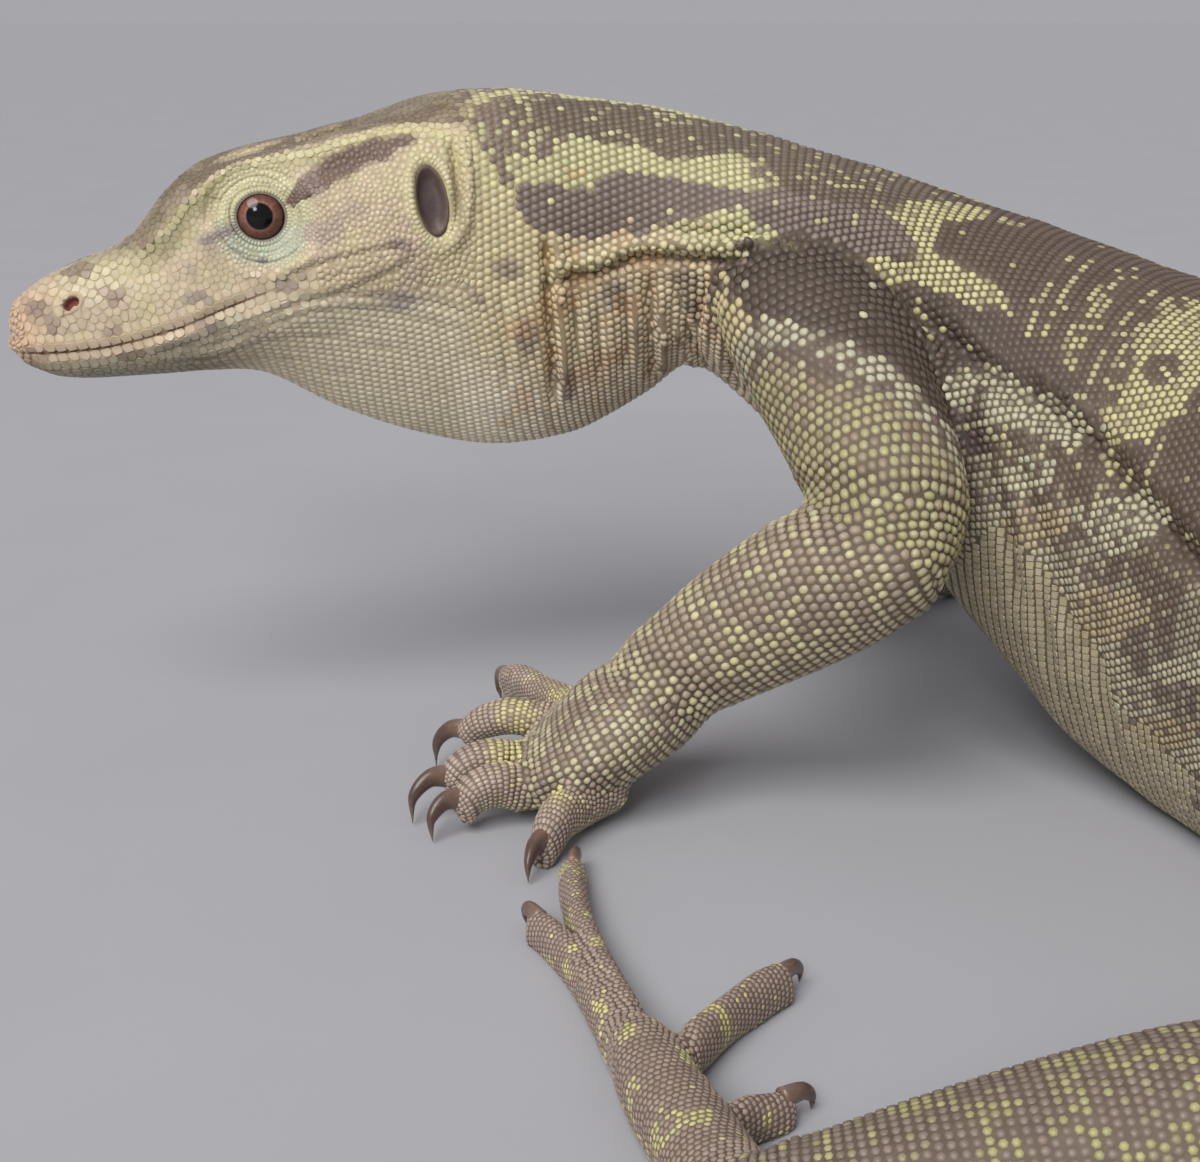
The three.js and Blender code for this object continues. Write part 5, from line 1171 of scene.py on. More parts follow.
# throat under the jaws, neck, back and flanks, belly plates, tail
body_lattice(rows_by(28, 103.5, lambda s: 1.8), lambda s: np.interp(s, [33, 60, 104], [0.405, 0.375, 0.325]), one(0.51), lambda s, u: np.full(len(u), 1.6), 9)
r_neck = rows_by(105.5, 193.2, lambda s: 1.95)
r_trunk = rows_by(r_neck[-1] + 2.0, 563.5, lambda s: np.interp(s, [196, 230], [1.95, 2.12]))
body_lattice(r_neck, one(-1), one(0.51), lambda s, u: 1.85 + 0.15 * (u < 0.1) - 0.1 * sstep(0.3, 0.4, u), 2)
body_lattice(r_trunk, one(-1), lambda s: belly_edge(s) + 0.0005, lambda s, u: 1.88 + 0.08 * np.cos(u * 6.28), 3)
body_lattice(rows_by(209, 556, lambda s: 3.05), lambda s: belly_edge(s), one(0.51), lambda s, u: np.full(len(u), 1.75), 4, 0, True)
body_lattice(rows_by(r_trunk[-1] + 2.25, 1436, lambda s: np.interp(s, [568, 640, 1000, 1300, 1436], [2.4, 3.0, 3.25, 2.9, 2.2])), one(-1), one(0.51), lambda s, u: np.interp(s, [568, 700, 1000, 1300, 1436], [2.1, 2.3, 2.15, 1.75, 1.3]) * np.ones(len(u)), 5)
for _k, (key, rows, sole, rnd) in enumerate(LOFTS):
    kind = key[3:]
    along, around, cls = {
        "fl": {"up": (2.5, 2.3, 6), "lo": (2.35, 2.15, 6), "pa": (1.9, 1.75, 7)},
        "fr": {"up": (2.5, 2.35, 6), "lo": (2.4, 2.25, 6), "pa": (2.0, 1.9, 7)},
        "hl": {"up": (1.75, 1.65, 6), "lo": (1.55, 1.45, 6), "pa": (1.35, 1.3, 7)},
        "hr": {"up": (1.95, 1.85, 6), "lo": (1.8, 1.7, 6), "pa": (1.6, 1.5, 7)},
    }[key[:2]].get(kind, (1.3, 1.2, 8) if key[1] == "l" else (1.5, 1.4, 8))
    last = rows[-1, 0]
    ii = np.linspace(0, last, 80)
    c = through(rows, ii)
    cum = np.r_[0, np.cumsum(np.linalg.norm(np.diff(c[:, :3], axis=0), axis=1))]
    m = int(cum[-1] / along)
    at = np.interp(np.linspace(0, cum[-1], m + 1), cum, ii)
    caps = [0.35, 0.62, 0.84] if kind not in ("up", "lo", "pa") else [0.2, 0.4, 0.6, 0.78]
    at = np.r_[at, last + np.array(caps)]
    for r, i in enumerate(at):
        t = np.arange(64) / 64
        ring = limb_points(rows, np.full(64, i), t, 0.0, 0.0, sole, rnd)
        seg = np.linalg.norm(np.roll(ring, -1, axis=0) - ring, axis=1)
        w = np.r_[0, np.cumsum(seg)]
        cnt = max(3, int(round(w[-1] / around)))
        x = np.interp((np.arange(cnt) + 0.5 * (r % 2)) * w[-1] / cnt % w[-1], w, np.r_[t, 1.0])
        G.append((np.full(cnt, _k), np.full(cnt, i), x, np.full(cnt, around), np.full(cnt, cls)))

LF, LI, LT, LP, LC = (np.concatenate(x) for x in zip(*G))
# the throat's rows slant back on their way down
_a = np.where(LT <= 0.5, LT, 1 - LT)
lean = 0.25 * np.maximum(0, _a - np.interp(LI, [33, 60, 104, 135], [0.405, 0.375, 0.325, 0.30])) * girth(LI) * (1 - sstep(110, 165, LI))
LI = np.where(LF < 0, LI + lean, LI)
m = ~((LC == 9) & (LI < 32.8))
LF, LI, LT, LP, LC = (x[m] for x in (LF, LI, LT, LP, LC))
P0 = np.zeros((len(LF), 3))
m = LF < 0
P0[m] = body_points(LI[m], LT[m], GROW)
for k in range(len(LOFTS)):
    m = LF == k
    if m.any():
        P0[m] = limb_points(LOFTS[k][1], LI[m], LT[m], GROW, 0.3, LOFTS[k][2], LOFTS[k][3])
P, PN, PF, PD = on_skin(P0)
FJ = JOIN[F].mean(1)
keep = PD < np.where((LF < 0) & (LI < 400), 3.3, 1.6)
# of points that crowd at a join, the limb's own stay
near_join = FJ[PF] > 0.003
LF, LI, LT, LP, LC, P, PN, PF = (x[keep] for x in (LF, LI, LT, LP, LC, P, PN, PF))
note("%d lattice points" % len(P))


# ---- head: points thrown on the skin, each with its own room
def head_room(q, a):
    """Room of a head scale by place."""
    hs, ax, hz = q[:, 0], np.abs(q[:, 1]), q[:, 2]
    r = np.full(len(q), 1.5)
    r = np.where(hs < 34, 1.85, r)
    r = np.where((ax < 9) & (hz > 9) & (hs < 40), 2.1, r)
    r = np.where((ax < 13) & (hz > 24) & (hs > 40), 1.55, r)
    r = np.where((hs > 66) & (hz > 4), 1.34, r)
    r = np.where((hs > 62) & (ax > 14) & (hz > 22), 1.16, r)
    r = np.where((hs > 45) & (hs < 72) & (hz > 36), 1.3, r)
    r = np.where(eye_rho(q) < 14.5, 1.15, r)
    r = np.where((eye_rho(q) < 11.6) & (ax > 9), 0.86, r)
    r = np.where((hs > 88) & (hz > 36), 1.6, r)
    return r


def mouth_points(row_z, pitch):
    """Points on the skin along the mouth at a height from its line, both sides from the front of the snout."""
    sz = np.linspace(0, 71, 240)
    z = np.interp(sz, MOUTH_LINE[:, 0], MOUTH_LINE[:, 1]) + row_z
    out = []
    for side in (1, -1):
        q = []
        for ang in np.linspace(90, 0, 16):
            o = head_world([[6.0, 0.0, -3.2 + row_z]])[0]
            a = math.radians(ang)
            d = head_world([[6.0 - math.sin(a), side * math.cos(a), -3.2 + row_z]])[0] - o
            h = skin_tree.ray_cast(o + d * 40, -d)
            if h[0] is not None:
                q.append(h[0][:])
        for s_, z_ in zip(sz, z):
            if s_ < 6:
                continue
            o = head_world([[s_, side * 45.0, z_]])[0]
            d = head_world([[s_, side * 44.0, z_]])[0] - o
            h = skin_tree.ray_cast(o, d)
            if h[0] is not None:
                q.append(h[0][:])
        q = np.array(q)
        cum = np.r_[0, np.cumsum(np.linalg.norm(np.diff(q, axis=0), axis=1))]
        start = 0.0 if side == 1 else pitch
        at = np.arange(start, cum[-1], pitch)
        out.append(np.stack([np.interp(at, cum, q[:, c]) for c in range(3)], 1))
    return np.concatenate(out)


def ring_points(cs, cz, rs, rz, pitch, slant=0.0, phase=0.0):
    """Points on the skin round an oval of the head's sides."""
    out = []
    n = max(6, int(round(2 * np.pi * math.sqrt((rs * rs + rz * rz) / 2) / pitch)))
    for side in (1, -1):
        for j in range(n):
            a = 2 * math.pi * (j + phase) / n
            x, y = rs * math.cos(a), rz * math.sin(a)
            s_, z_ = cs + x * math.cos(slant) - y * math.sin(slant), cz + x * math.sin(slant) + y * math.cos(slant)
            o = head_world([[s_, side * 45.0, z_]])[0]
            d = head_world([[s_, side * 44.0, z_]])[0] - o
            h = skin_tree.ray_cast(o, d)
            if h[0] is not None:
                out.append(h[0][:])
    return np.array(out)


placed = []  # (points, room, class), not moved when the others settle
placed.append((mouth_points(1.25, 2.5), 2.1, 20))
placed.append((mouth_points(-1.25, 2.5), 2.1, 21))
placed.append((mouth_points(3.25, 2.2), 1.95, 1))
placed.append((mouth_points(-3.2, 2.2), 1.95, 1))
for j, (rr, pp) in enumerate(((5.8, 0.72),)):
    placed.append((ring_points(EYE["s"], EYE["z"], rr * 1.04, rr, pp, 0.0, 0.5 * (j % 2)), pp * 0.92, 22))
placed.append((ring_points(EAR["s"], EAR["z"], EAR["half_s"] * 1.30, EAR["half_z"] * 1.12, 0.95, 0.12), 0.9, 23))
placed.append((ring_points(EAR["s"], EAR["z"], EAR["half_s"] * 1.62, EAR["half_z"] * 1.26, 1.1, 0.12, 0.5), 1.0, 23))
brow = []
for side in (1, -1):
    for s_ in np.arange(32, 90, 1.95):
        z_ = np.interp(s_, BROW[:, 0], BROW[:, 1])
        o = head_world([[s_, side * 45.0, z_ - 0.3]])[0]
        d = head_world([[s_, side * 44.0, z_ - 0.3]])[0] - o
        h = skin_tree.ray_cast(o, d)
        if h[0] is not None:
            brow.append(h[0][:])
placed.append((np.array(brow), 1.7, 24))

rng = np.random.default_rng(7)
fc = V[F].mean(1)
fq = head_local(fc)
floft = SRC_K[NEAR[F[:, 0]]]
fs, ft = SRC_I[NEAR[F[:, 0]]], SRC_T[NEAR[F[:, 0]]]
fa = np.where(ft <= 0.5, ft, 1 - ft)
head_face = (floft < 0) & (fs < 104.6) & ~((fs > 32) & (fa > np.interp(fs, [33, 60, 104], [0.400, 0.370, 0.320])))
area = np.linalg.norm(np.cross(V[F[:, 1]] - V[F[:, 0]], V[F[:, 2]] - V[F[:, 0]]), axis=1) / 2


def throw(faces, n):
    w = np.cumsum(area[faces])
    f = faces[np.searchsorted(w, rng.random(n) * w[-1])]
    a, b = rng.random(n), rng.random(n)
    m = a + b > 1
    a[m], b[m] = 1 - a[m], 1 - b[m]
    return V[F[f, 0]] * (1 - a - b)[:, None] + V[F[f, 1]] * a[:, None] + V[F[f, 2]] * b[:, None], f


def no_go(q):
    """Where no head scale of the common kind grows: eyeballs and lids, nostrils, eardrums."""
    ca, sa = math.cos(NOSTRIL["slant"]), math.sin(NOSTRIL["slant"])
    A, B = q[:, 0] - NOSTRIL["s"], q[:, 2] - NOSTRIL["z"]
    e1 = np.hypot((A * ca + B * sa) / (NOSTRIL["half_s"] + 1.35), (-A * sa + B * ca) / (NOSTRIL["half_z"] + 1.35))
    a2, b2 = q[:, 0] - EAR["s"] + 0.12 * (q[:, 2] - EAR["z"]), q[:, 2] - EAR["z"]
    e2 = np.hypot(a2 / EAR["half_s"], b2 / EAR["half_z"])
    ax = np.abs(q[:, 1])
    return ((eye_rho(q) < 6.2) & (ax > 8)) | ((e1 < 1) & (ax > 4)) | ((e2 < 1.35) & (ax > 12))


class Cells:
    """Points in a grid of cells, to ask for room."""

    def __init__(self, size):
        self.size, self.d = size, {}

    def key(self, p):
        return (int(p[0] // self.size), int(p[1] // self.size), int(p[2] // self.size))

    def add(self, p, r):
        self.d.setdefault(self.key(p), []).append((p[0], p[1], p[2], r))

    def free(self, p, r):
        i, j, k = self.key(p)
        for a in (i - 1, i, i + 1):
            for b in (j - 1, j, j + 1):
                for c in (k - 1, k, k + 1):
                    for x, y, z, rr in self.d.get((a, b, c), ()):
                        lim = (r + rr) * 0.5
                        if (x - p[0]) ** 2 + (y - p[1]) ** 2 + (z - p[2]) ** 2 < lim * lim:
                            return False
        return True


cells = Cells(2.6)
HP, HC, HR = [], [], []
for pts, room, cls in placed:
    for q in pts.tolist():
        if cells.free(q, room * 0.72):
            cells.add(q, room)
            HP.append(q)
            HC.append(cls)
            HR.append(room)
fixed = len(HP)
hm = (LF < 0) & (LI < 112)
for q, r in zip(P[hm].tolist(), LP[hm].tolist()):
    cells.add(q, r)
cand, cf = throw(np.where(head_face)[0], 64000)
round_eye = head_face & (eye_rho(fq) < 13) & (np.abs(fq[:, 1]) > 9)
cand = np.concatenate([throw(np.where(round_eye)[0], 9000)[0], cand])
cq = head_local(cand)
room = head_room(cq, None) * (0.9 + 0.2 * rng.random(len(cand)))
ok = ~no_go(cq)
for q, r in zip(cand[ok].tolist(), room[ok].tolist()):
    if cells.free(q, r * 0.86):
        cells.add(q, r * 0.86)
        HP.append(q)
        HC.append(1)
        HR.append(r)
HP, HC, HR = np.array(HP), np.array(HC), np.array(HR)
_q = head_local(HP)
HC = np.where((HC == 1) & (_q[:, 0] + 6 * vnoise(HP, 5.0, 61) > 72) & (_q[:, 2] < 44), 9, HC)
HC = np.where((HC == 1) & (eye_rho(_q) < 11.4) & (np.abs(_q[:, 1]) > 9), 22, HC)
note("%d head points" % len(HP))


def settle(p, room, move, turns, others=None):
    """Spreads points evenly on the skin by pushing neighbours apart; only those with move true go."""
    p = p.copy()
    for _ in range(turns):
        every = p if others is None else np.concatenate([p, others])
        t = tree(every)
        idx = np.where(move)[0]
        nb = [t.find_n(p[j], 8)[1:] for j in idx.tolist()]
        nx = np.array([[x[1] for x in r] for r in nb])
        nd = np.array([[x[2] for x in r] for r in nb])
        d = (p[idx][:, None] - every[nx]) / np.maximum(nd, 1e-6)[:, :, None]
        lim = room[idx][:, None] * 1.12
        push = np.maximum(0, lim - nd) * 0.3
        p[idx] += (d * push[:, :, None]).sum(1)
        p[idx] = on_skin(p[idx])[0]
    return p


mv = np.ones(len(HP), bool)
mv[:fixed] = False
HP = settle(HP, HR, mv, 5, P[hm])
q = head_local(HP)
ok = ~(mv & no_go(q) & (eye_rho(q) < 6.0))
HP, HC, HR = HP[ok], HC[ok], HR[ok]

# ---- joins: crowded points go, gaps fill, and what is near them settles
fj = FJ[PF] > 0.003
cells = Cells(2.6)
stay = np.ones(len(P), bool)
order = np.r_[np.where(~fj)[0], np.where(fj & (LF >= 0))[0], np.where(fj & (LF < 0))[0]]
for j in order.tolist():
    q, r = P[j].tolist(), LP[j]
    if fj[j] and not cells.free(q, r * 0.74):
        stay[j] = False
        continue
    cells.add(q, r * 0.74 if fj[j] else r * 0.74)
LF, LI, LT, LP, LC, P, PN, PF = (x[stay] for x in (LF, LI, LT, LP, LC, P, PN, PF))
_n, _d = nearest(tree(P), fc)
gf = np.where((FJ > 0.003) | ((_d > 1.15 * LP[_n]) & ~head_face & (LC[_n] != 4)))[0]
cand, cf = throw(gf, 60000)
near, _ = nearest(tree(P), cand)
addp, adds = [], []
for j, q in enumerate(cand.tolist()):
    r = LP[near[j]]
    if cells.free(q, r * 0.88):
        cells.add(q, r * 0.78)
        addp.append(q)
        adds.append(near[j])
adds = np.array(adds, int)
P = np.concatenate([P, np.array(addp).reshape(-1, 3)])
LF, LI, LT, LP, LC = (np.concatenate([x, x[adds]]) for x in (LF, LI, LT, LP, LC))
P, PN, PF, _ = on_skin(P)
mv = (FJ[PF] > 0.003) | (np.arange(len(P)) >= len(P) - len(adds))
P = settle(P, LP, mv, 3)
note("%d body points, %d filled in" % (len(P), len(adds)))

P = np.concatenate([P, HP])
hn, _ = nearest(src_tree, HP)
LF = np.concatenate([LF, np.full(len(HP), -1)])
LI = np.concatenate([LI, SRC_I[hn]])
LT = np.concatenate([LT, SRC_T[hn]])
LP = np.concatenate([LP, HR])
LC = np.concatenate([LC, HC])
P, PN, PF, _ = on_skin(P)
NEAR_JOIN_P = FJ[PF] > 0.003
note("%d scales" % len(P))

# ---------------------------------------------------------------- the scales' shapes
J8 = 8
pt = tree(P)
NB = 11
nb = [pt.find_n(x, NB)[1:] for x in P.tolist()]
NX = np.array([[x[1] for x in r] for r in nb])
ND = np.array([[x[2] for x in r] for r in nb])
# frame of each scale: T along the animal, B across
ahead = np.zeros((len(P), 3))
sp = spine_at(LI)
ahead = np.c_[np.cos(sp[:, 2]), -np.sin(sp[:, 2]), np.zeros(len(P))]
for k in range(len(LOFTS)):
    m = LF == k
    if m.any():
        rows = LOFTS[k][1]
        a = through(rows, np.clip(LI[m] - 0.05, 0, None))[:, :3]
        b = through(rows, np.clip(LI[m] + 0.05, None, rows[-1, 0]))[:, :3]
        d = b - a
        bad = np.linalg.norm(d, axis=1) < 1e-6
        d[bad] = (1, 0, 0)
        ahead[m] = d / np.linalg.norm(d, axis=1)[:, None]
T = ahead - (ahead * PN).sum(1)[:, None] * PN
tl = np.linalg.norm(T, axis=1)
T[tl < 0.05] = np.cross(PN[tl < 0.05], (0.3, 0.8, 0.52))
T /= np.linalg.norm(T, axis=1)[:, None]
B = np.cross(PN, T)
D = P[NX] - P[:, None]
dx, dy = (D * T[:, None]).sum(2), (D * B[:, None]).sum(2)
l = np.hypot(dx, dy)
real = np.linalg.norm(D, axis=2)
k = real / np.maximum(l, 0.2 * real + 1e-9)
dx, dy = dx * np.minimum(k, 1.6), dy * np.minimum(k, 1.6)
half2 = (dx**2 + dy**2) / 2
RM = LP * np.where((LF < 0) & (LI < 108), 0.95, 0.80)
RM = np.where(NEAR_JOIN_P, LP * 0.95, RM)


def cell_radius(j, off):
    """Distance to the edge of each scale's cell in J directions."""
    out = np.empty((len(P), j))
    for m in range(j):
        a = 2 * np.pi * (m + off) / j
        c, s = math.cos(a), math.sin(a)
        dot = dx * c + dy * s
        r = np.where(dot > 1e-6, half2 / np.maximum(dot, 1e-6), 1e9).min(1)
        out[:, m] = np.minimum(r, RM * np.where(LC == 4, 1.25, 1.0) * (1.35 if False else 1.0))
    return out


R8, R6 = cell_radius(8, 0.5), cell_radius(6, 0.0)


def reach(on, value, usual, most):
    """Half the way to the nearest neighbour among those with on true."""
    d = np.where(on, value, 1e9).min(1)
    return np.minimum(np.where(d > 1e8, usual, d / 2), most)


# the belly's oblong plates: half lengths ahead, behind and to each side
BOX = np.stack([
    reach((np.abs(dy) < 1.4) & (dx > 1.3), dx, 1.45, 1.75), reach((np.abs(dy) < 1.4) & (dx < -1.3), -dx, 1.45, 1.75),
    reach((np.abs(dx) < 1.1) & (dy > 0.4), dy, 0.86, 1.2), reach((np.abs(dx) < 1.1) & (dy < -0.4), -dy, 0.86, 1.2),
], 1)
note("cells")
OFF = np.array([-362.12332153, -236.47622681, 0.0])


def to_row(v):
    return (np.asarray(v) + OFF) * 0.001


# Height, cover of the cell, width of the shoulder, roundness, backward tilt and painted shade of the edge, pale or
# dark, of each class of scale
LOOK = {
    1: (0.12, 0.975, 0.90, 0.08, 0.0, 0.90, 0.90),
    9: (0.19, 0.95, 0.78, 0.22, 0.12, 0.80, 0.80),
    2: (0.26, 0.93, 0.72, 0.40, 0.20, 0.68, 0.80),
    3: (0.24, 0.93, 0.66, 0.40, 0.30, 0.64, 0.82),
    4: (0.22, 0.97, 0.84, 0.05, 0.35, 0.54, 0.62),
    5: (0.28, 0.93, 0.74, 0.30, 0.30, 0.66, 0.80),
    6: (0.29, 0.95, 0.64, 0.28, 0.15, 0.54, 0.66),
    7: (0.23, 0.95, 0.66, 0.34, 0.0, 0.56, 0.68),
    8: (0.15, 0.95, 0.72, 0.40, 0.0, 0.74, 0.80),
    20: (0.12, 0.975, 0.92, 0.0, 0.0, 0.88, 0.88),
    21: (0.12, 0.975, 0.92, 0.0, 0.0, 0.88, 0.88),
    22: (0.035, 0.965, 0.86, 0.20, 0.0, 0.95, 0.95),
    23: (0.10, 0.92, 0.80, 0.30, 0.0, 0.84, 0.84),
    24: (0.13, 0.975, 0.88, 0.08, 0.0, 0.90, 0.90),
}
tab = np.zeros((25, 7))
for k, v in LOOK.items():
    tab[k] = v
hh, cover, sh, rnd, tilt, edge_shade_pale, edge_shade_dark = tab[LC].T
# the throat and neck take over from the head by degrees
bl = np.where((LC == 2), 1 - sstep(105, 132, LI), 0.0)
hh = hh + bl * (0.19 - hh)
sh = sh + bl * (0.80 - sh)
rnd = rnd + bl * (0.20 - rnd)
cover = cover + bl * (0.955 - cover)
edge_shade_pale = edge_shade_pale + bl * (0.84 - edge_shade_pale)
rand = hash01(np.arange(len(P)), P[:, 0] * 0.37, P[:, 2] * 0.71)
rand2 = hash01(np.arange(len(P)) + 0.5, P[:, 1] * 0.53)
light, darkc, share = paint(LF, LI, LT, P)
pale = rand < share
COL = np.where(pale[:, None], light, darkc)
# a scale between pale and dark here and there, and every one a little its own
half = (np.abs(rand - share) < 0.07) & (share > 0.05) & (share < 0.95)
COL = np.where(half[:, None], (light + darkc) / 2, COL)
hue = np.where((LF < 0) & (LI < 105), 0.025, 0.05)[:, None]
own = np.where((LF < 0) & (LI < 105), 0.05, 0.18)
COL = COL * (1 - own / 2 + own * rand2)[:, None] * (1 + hue * (hash01(np.arange(len(P)) * 1.7) - 0.5)[:, None] * np.array([1.0, 0.2, -1.4]))
hh = hh * np.where((LC == 3) & ~pale, 0.7, 1.0)
hh = np.where(LF >= 0, hh * (1 - 0.55 * arm_cap(LF, LI, LT)), hh)
hh = hh * (0.85 + 0.3 * rand2) * np.clip(LP / 1.8, 0.6, 1.25)
# in the hollows where limbs meet the body they stand higher, so that the skin does not rise over their edges
hh = hh + 0.24 * NEAR_JOIN_P
# the hind feet are all but smooth
hh = hh * np.where(np.isin(LF, [k for k, x in enumerate(LOFTS) if x[0][0] == "h" and x[0][3:] not in ("up", "lo")]), 0.6, 1.0)
BETWEEN, GAP = ground(LF, LI, LT)
# crest of the tail: two rows of taller keels on top
top = (LC == 5) & (np.minimum(LT, 1 - LT) * girth(LI) < 2.6)
hh = np.where(top, hh * 1.7, hh)

# unwrap: body along U and round V below, the limbs' lofts in four rows above
UVR = np.zeros((len(P), 2))
m = LF < 0
UVR[m] = np.c_[0.02 + 0.96 * LI[m] / TAIL_TIP, 0.02 + 0.46 * LT[m]]
for k, (key, rows, _, _) in enumerate(LOFTS):
    m = LF == k
    if m.any():
        row = ("fl", "fr", "hl", "hr").index(key[:2])
        kind = key[3:]
        u0, u1 = {"up": (0.02, 0.26), "lo": (0.28, 0.50), "pa": (0.52, 0.66)}.get(kind, (0, 0))
        if u1 == 0:
            d = int(kind[1]) - 1
            u0, u1 = 0.68 + 0.062 * d, 0.68 + 0.062 * d + 0.052
        x = np.clip(LI[m] / rows[-1, 0], -0.05, 1.15) / 1.15
        UVR[m] = np.c_[u0 + (u1 - u0) * np.clip(x, 0, 1), 0.52 + 0.118 * row + 0.108 * (LT[m] % 1.0)]


def coat(name, pick, j):
    """One joined mesh of the scales in pick, j-sided, with their colours and their patches on the unwrap."""
    idx = np.where(pick)[0]
    n = len(idx)
    R = (R8 if j == 8 else R6)[idx]
    off = 0.5 if j == 8 else 0.0
    mean = R.mean(1, keepdims=True)
    r = np.minimum(R * (1 - rnd[idx, None]) + mean * rnd[idx, None], R * 0.985 + 0.02) * cover[idx, None]
    a = 2 * np.pi * (np.arange(j) + off) / j
    ca, sa = np.cos(a), np.sin(a)
    dirs = T[idx, None] * ca[None, :, None] + B[idx, None] * sa[None, :, None]
    c, nn = P[idx, None], PN[idx, None]
    h = hh[idx, None, None]
    base = c + dirs * r[:, :, None] - nn * 0.12
    lean = 1 + tilt[idx, None] * ca[None]
    mid = c + dirs * (r * sh[idx, None])[:, :, None] + nn * h * 0.80 * lean[:, :, None]
    apex = (c + nn * h * (1 + 0.15 * tilt[idx, None, None]) + T[idx, None] * (tilt[idx, None] * r.mean(1, keepdims=True) * 0.25)[:, :, None])
    if (LC[idx] == 4).all():
        fr, bk, rt, lf = (BOX[idx] * np.array([0.86, 0.86, 0.975, 0.975])).T
        X = np.stack([fr, fr, fr * 0, -bk, -bk, fr * 0], 1)[:, :, None]
        Y = np.stack([-lf, rt, rt, rt, -lf, -lf], 1)[:, :, None]
        base = c + T[idx, None] * X + B[idx, None] * Y - nn * 0.12
        mid = c + T[idx, None] * X * 0.82 + B[idx, None] * Y * 0.86 + nn * h * (1 + tilt[idx, None, None] * X / 1.5)
    v = np.concatenate([base, mid, apex], axis=1)
    v[:, :, 2] = np.maximum(v[:, :, 2], 0.02)
    # the plates along the lips end short of the mouth's line
    for cls, way in ((20, 1), (21, -1)):
        m = np.where(LC[idx] == cls)[0]
        if len(m):
            q = head_local(v[m].reshape(-1, 3))
            line = np.interp(q[:, 0], MOUTH_LINE[:, 0], MOUTH_LINE[:, 1])
            q[:, 2] = line + way * np.maximum((q[:, 2] - line) * way, 0.26)
            v[m] = head_world(q).reshape(len(m), -1, 3)
    k = 2 * j + 1
    f = []
    for m in range(j):
        q = (m + 1) % j
        f += [(m, q, j + q), (m, j + q, j + m), (j + m, j + q, 2 * j)]
    f = np.array(f)
    F_ = (f[None] + (np.arange(n) * k)[:, None, None]).reshape(-1, 3)
    me = mesh_from(name, to_row(v.reshape(-1, 3)), F_)
    col = np.ones((n, k, 4), np.float32)
    body = COL[idx, None]
    # the ring at each scale's foot is painted darker than the scale: painted shade of the groove between scales, then
    # mixed with the skin's own colour between them
    shade = np.where(pale[idx], edge_shade_pale[idx], edge_shade_dark[idx])[:, None, None]
    rim = body * shade * np.array([0.98, 0.94, 0.88])
    g = (GAP[idx] * np.where(pale[idx] & (LF[idx] < 0), 0.6, 1.0))[:, None, None]
    col[:, :j, :3] = rim * (1 - g) + BETWEEN[idx, None] * 0.9 * g
    col[:, j : 2 * j, :3] = body
    # the apex is painted a little lighter than the scale: a painted highlight on its crown
    col[:, 2 * j :, :3] = np.minimum(body * 1.07, 1)
    at = me.color_attributes.new("Paint", "FLOAT_COLOR", "POINT")
    at.data.foreach_set("color", col.ravel())
    uv = np.empty((n, k, 2), np.float32)
    ring = np.stack([ca, sa], 1) * 0.0015
    uv[:, :j] = UVR[idx, None] + ring
    uv[:, j : 2 * j] = UVR[idx, None] + ring * 0.6
    uv[:, 2 * j] = UVR[idx]
    layer = me.uv_layers.new(name="OFBake")
    layer.data.foreach_set("uv", uv.reshape(-1, 2)[F_.ravel()].ravel())
    me.polygons.foreach_set("use_smooth", np.ones(len(F_), bool))
    # flat plates of the head and belly have a crisp edge
    ev = np.empty(len(me.edges) * 2, np.int32)
    me.edges.foreach_get("vertices", ev)
    ev = ev.reshape(-1, 2)
    plate = np.isin(LC[idx], (1, 4, 20, 21, 24))
    crisp = plate[ev[:, 0] // k] & (ev % k >= j).all(1) & (ev % k < 2 * j).all(1)
    me.edges.foreach_set("use_edge_sharp", crisp)
    ob = object_from(name, me)
    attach(ob, "root")
    note("%s: %d scales, %d triangles" % (name, n, len(F_)))
    return ob


# ---------------------------------------------------------------- materials
def material(name):
    m = bpy.data.materials.new(name)
    m.use_nodes = True
    nt = m.node_tree
    return m, nt.nodes, nt.links, nt.nodes["Principled BSDF"]


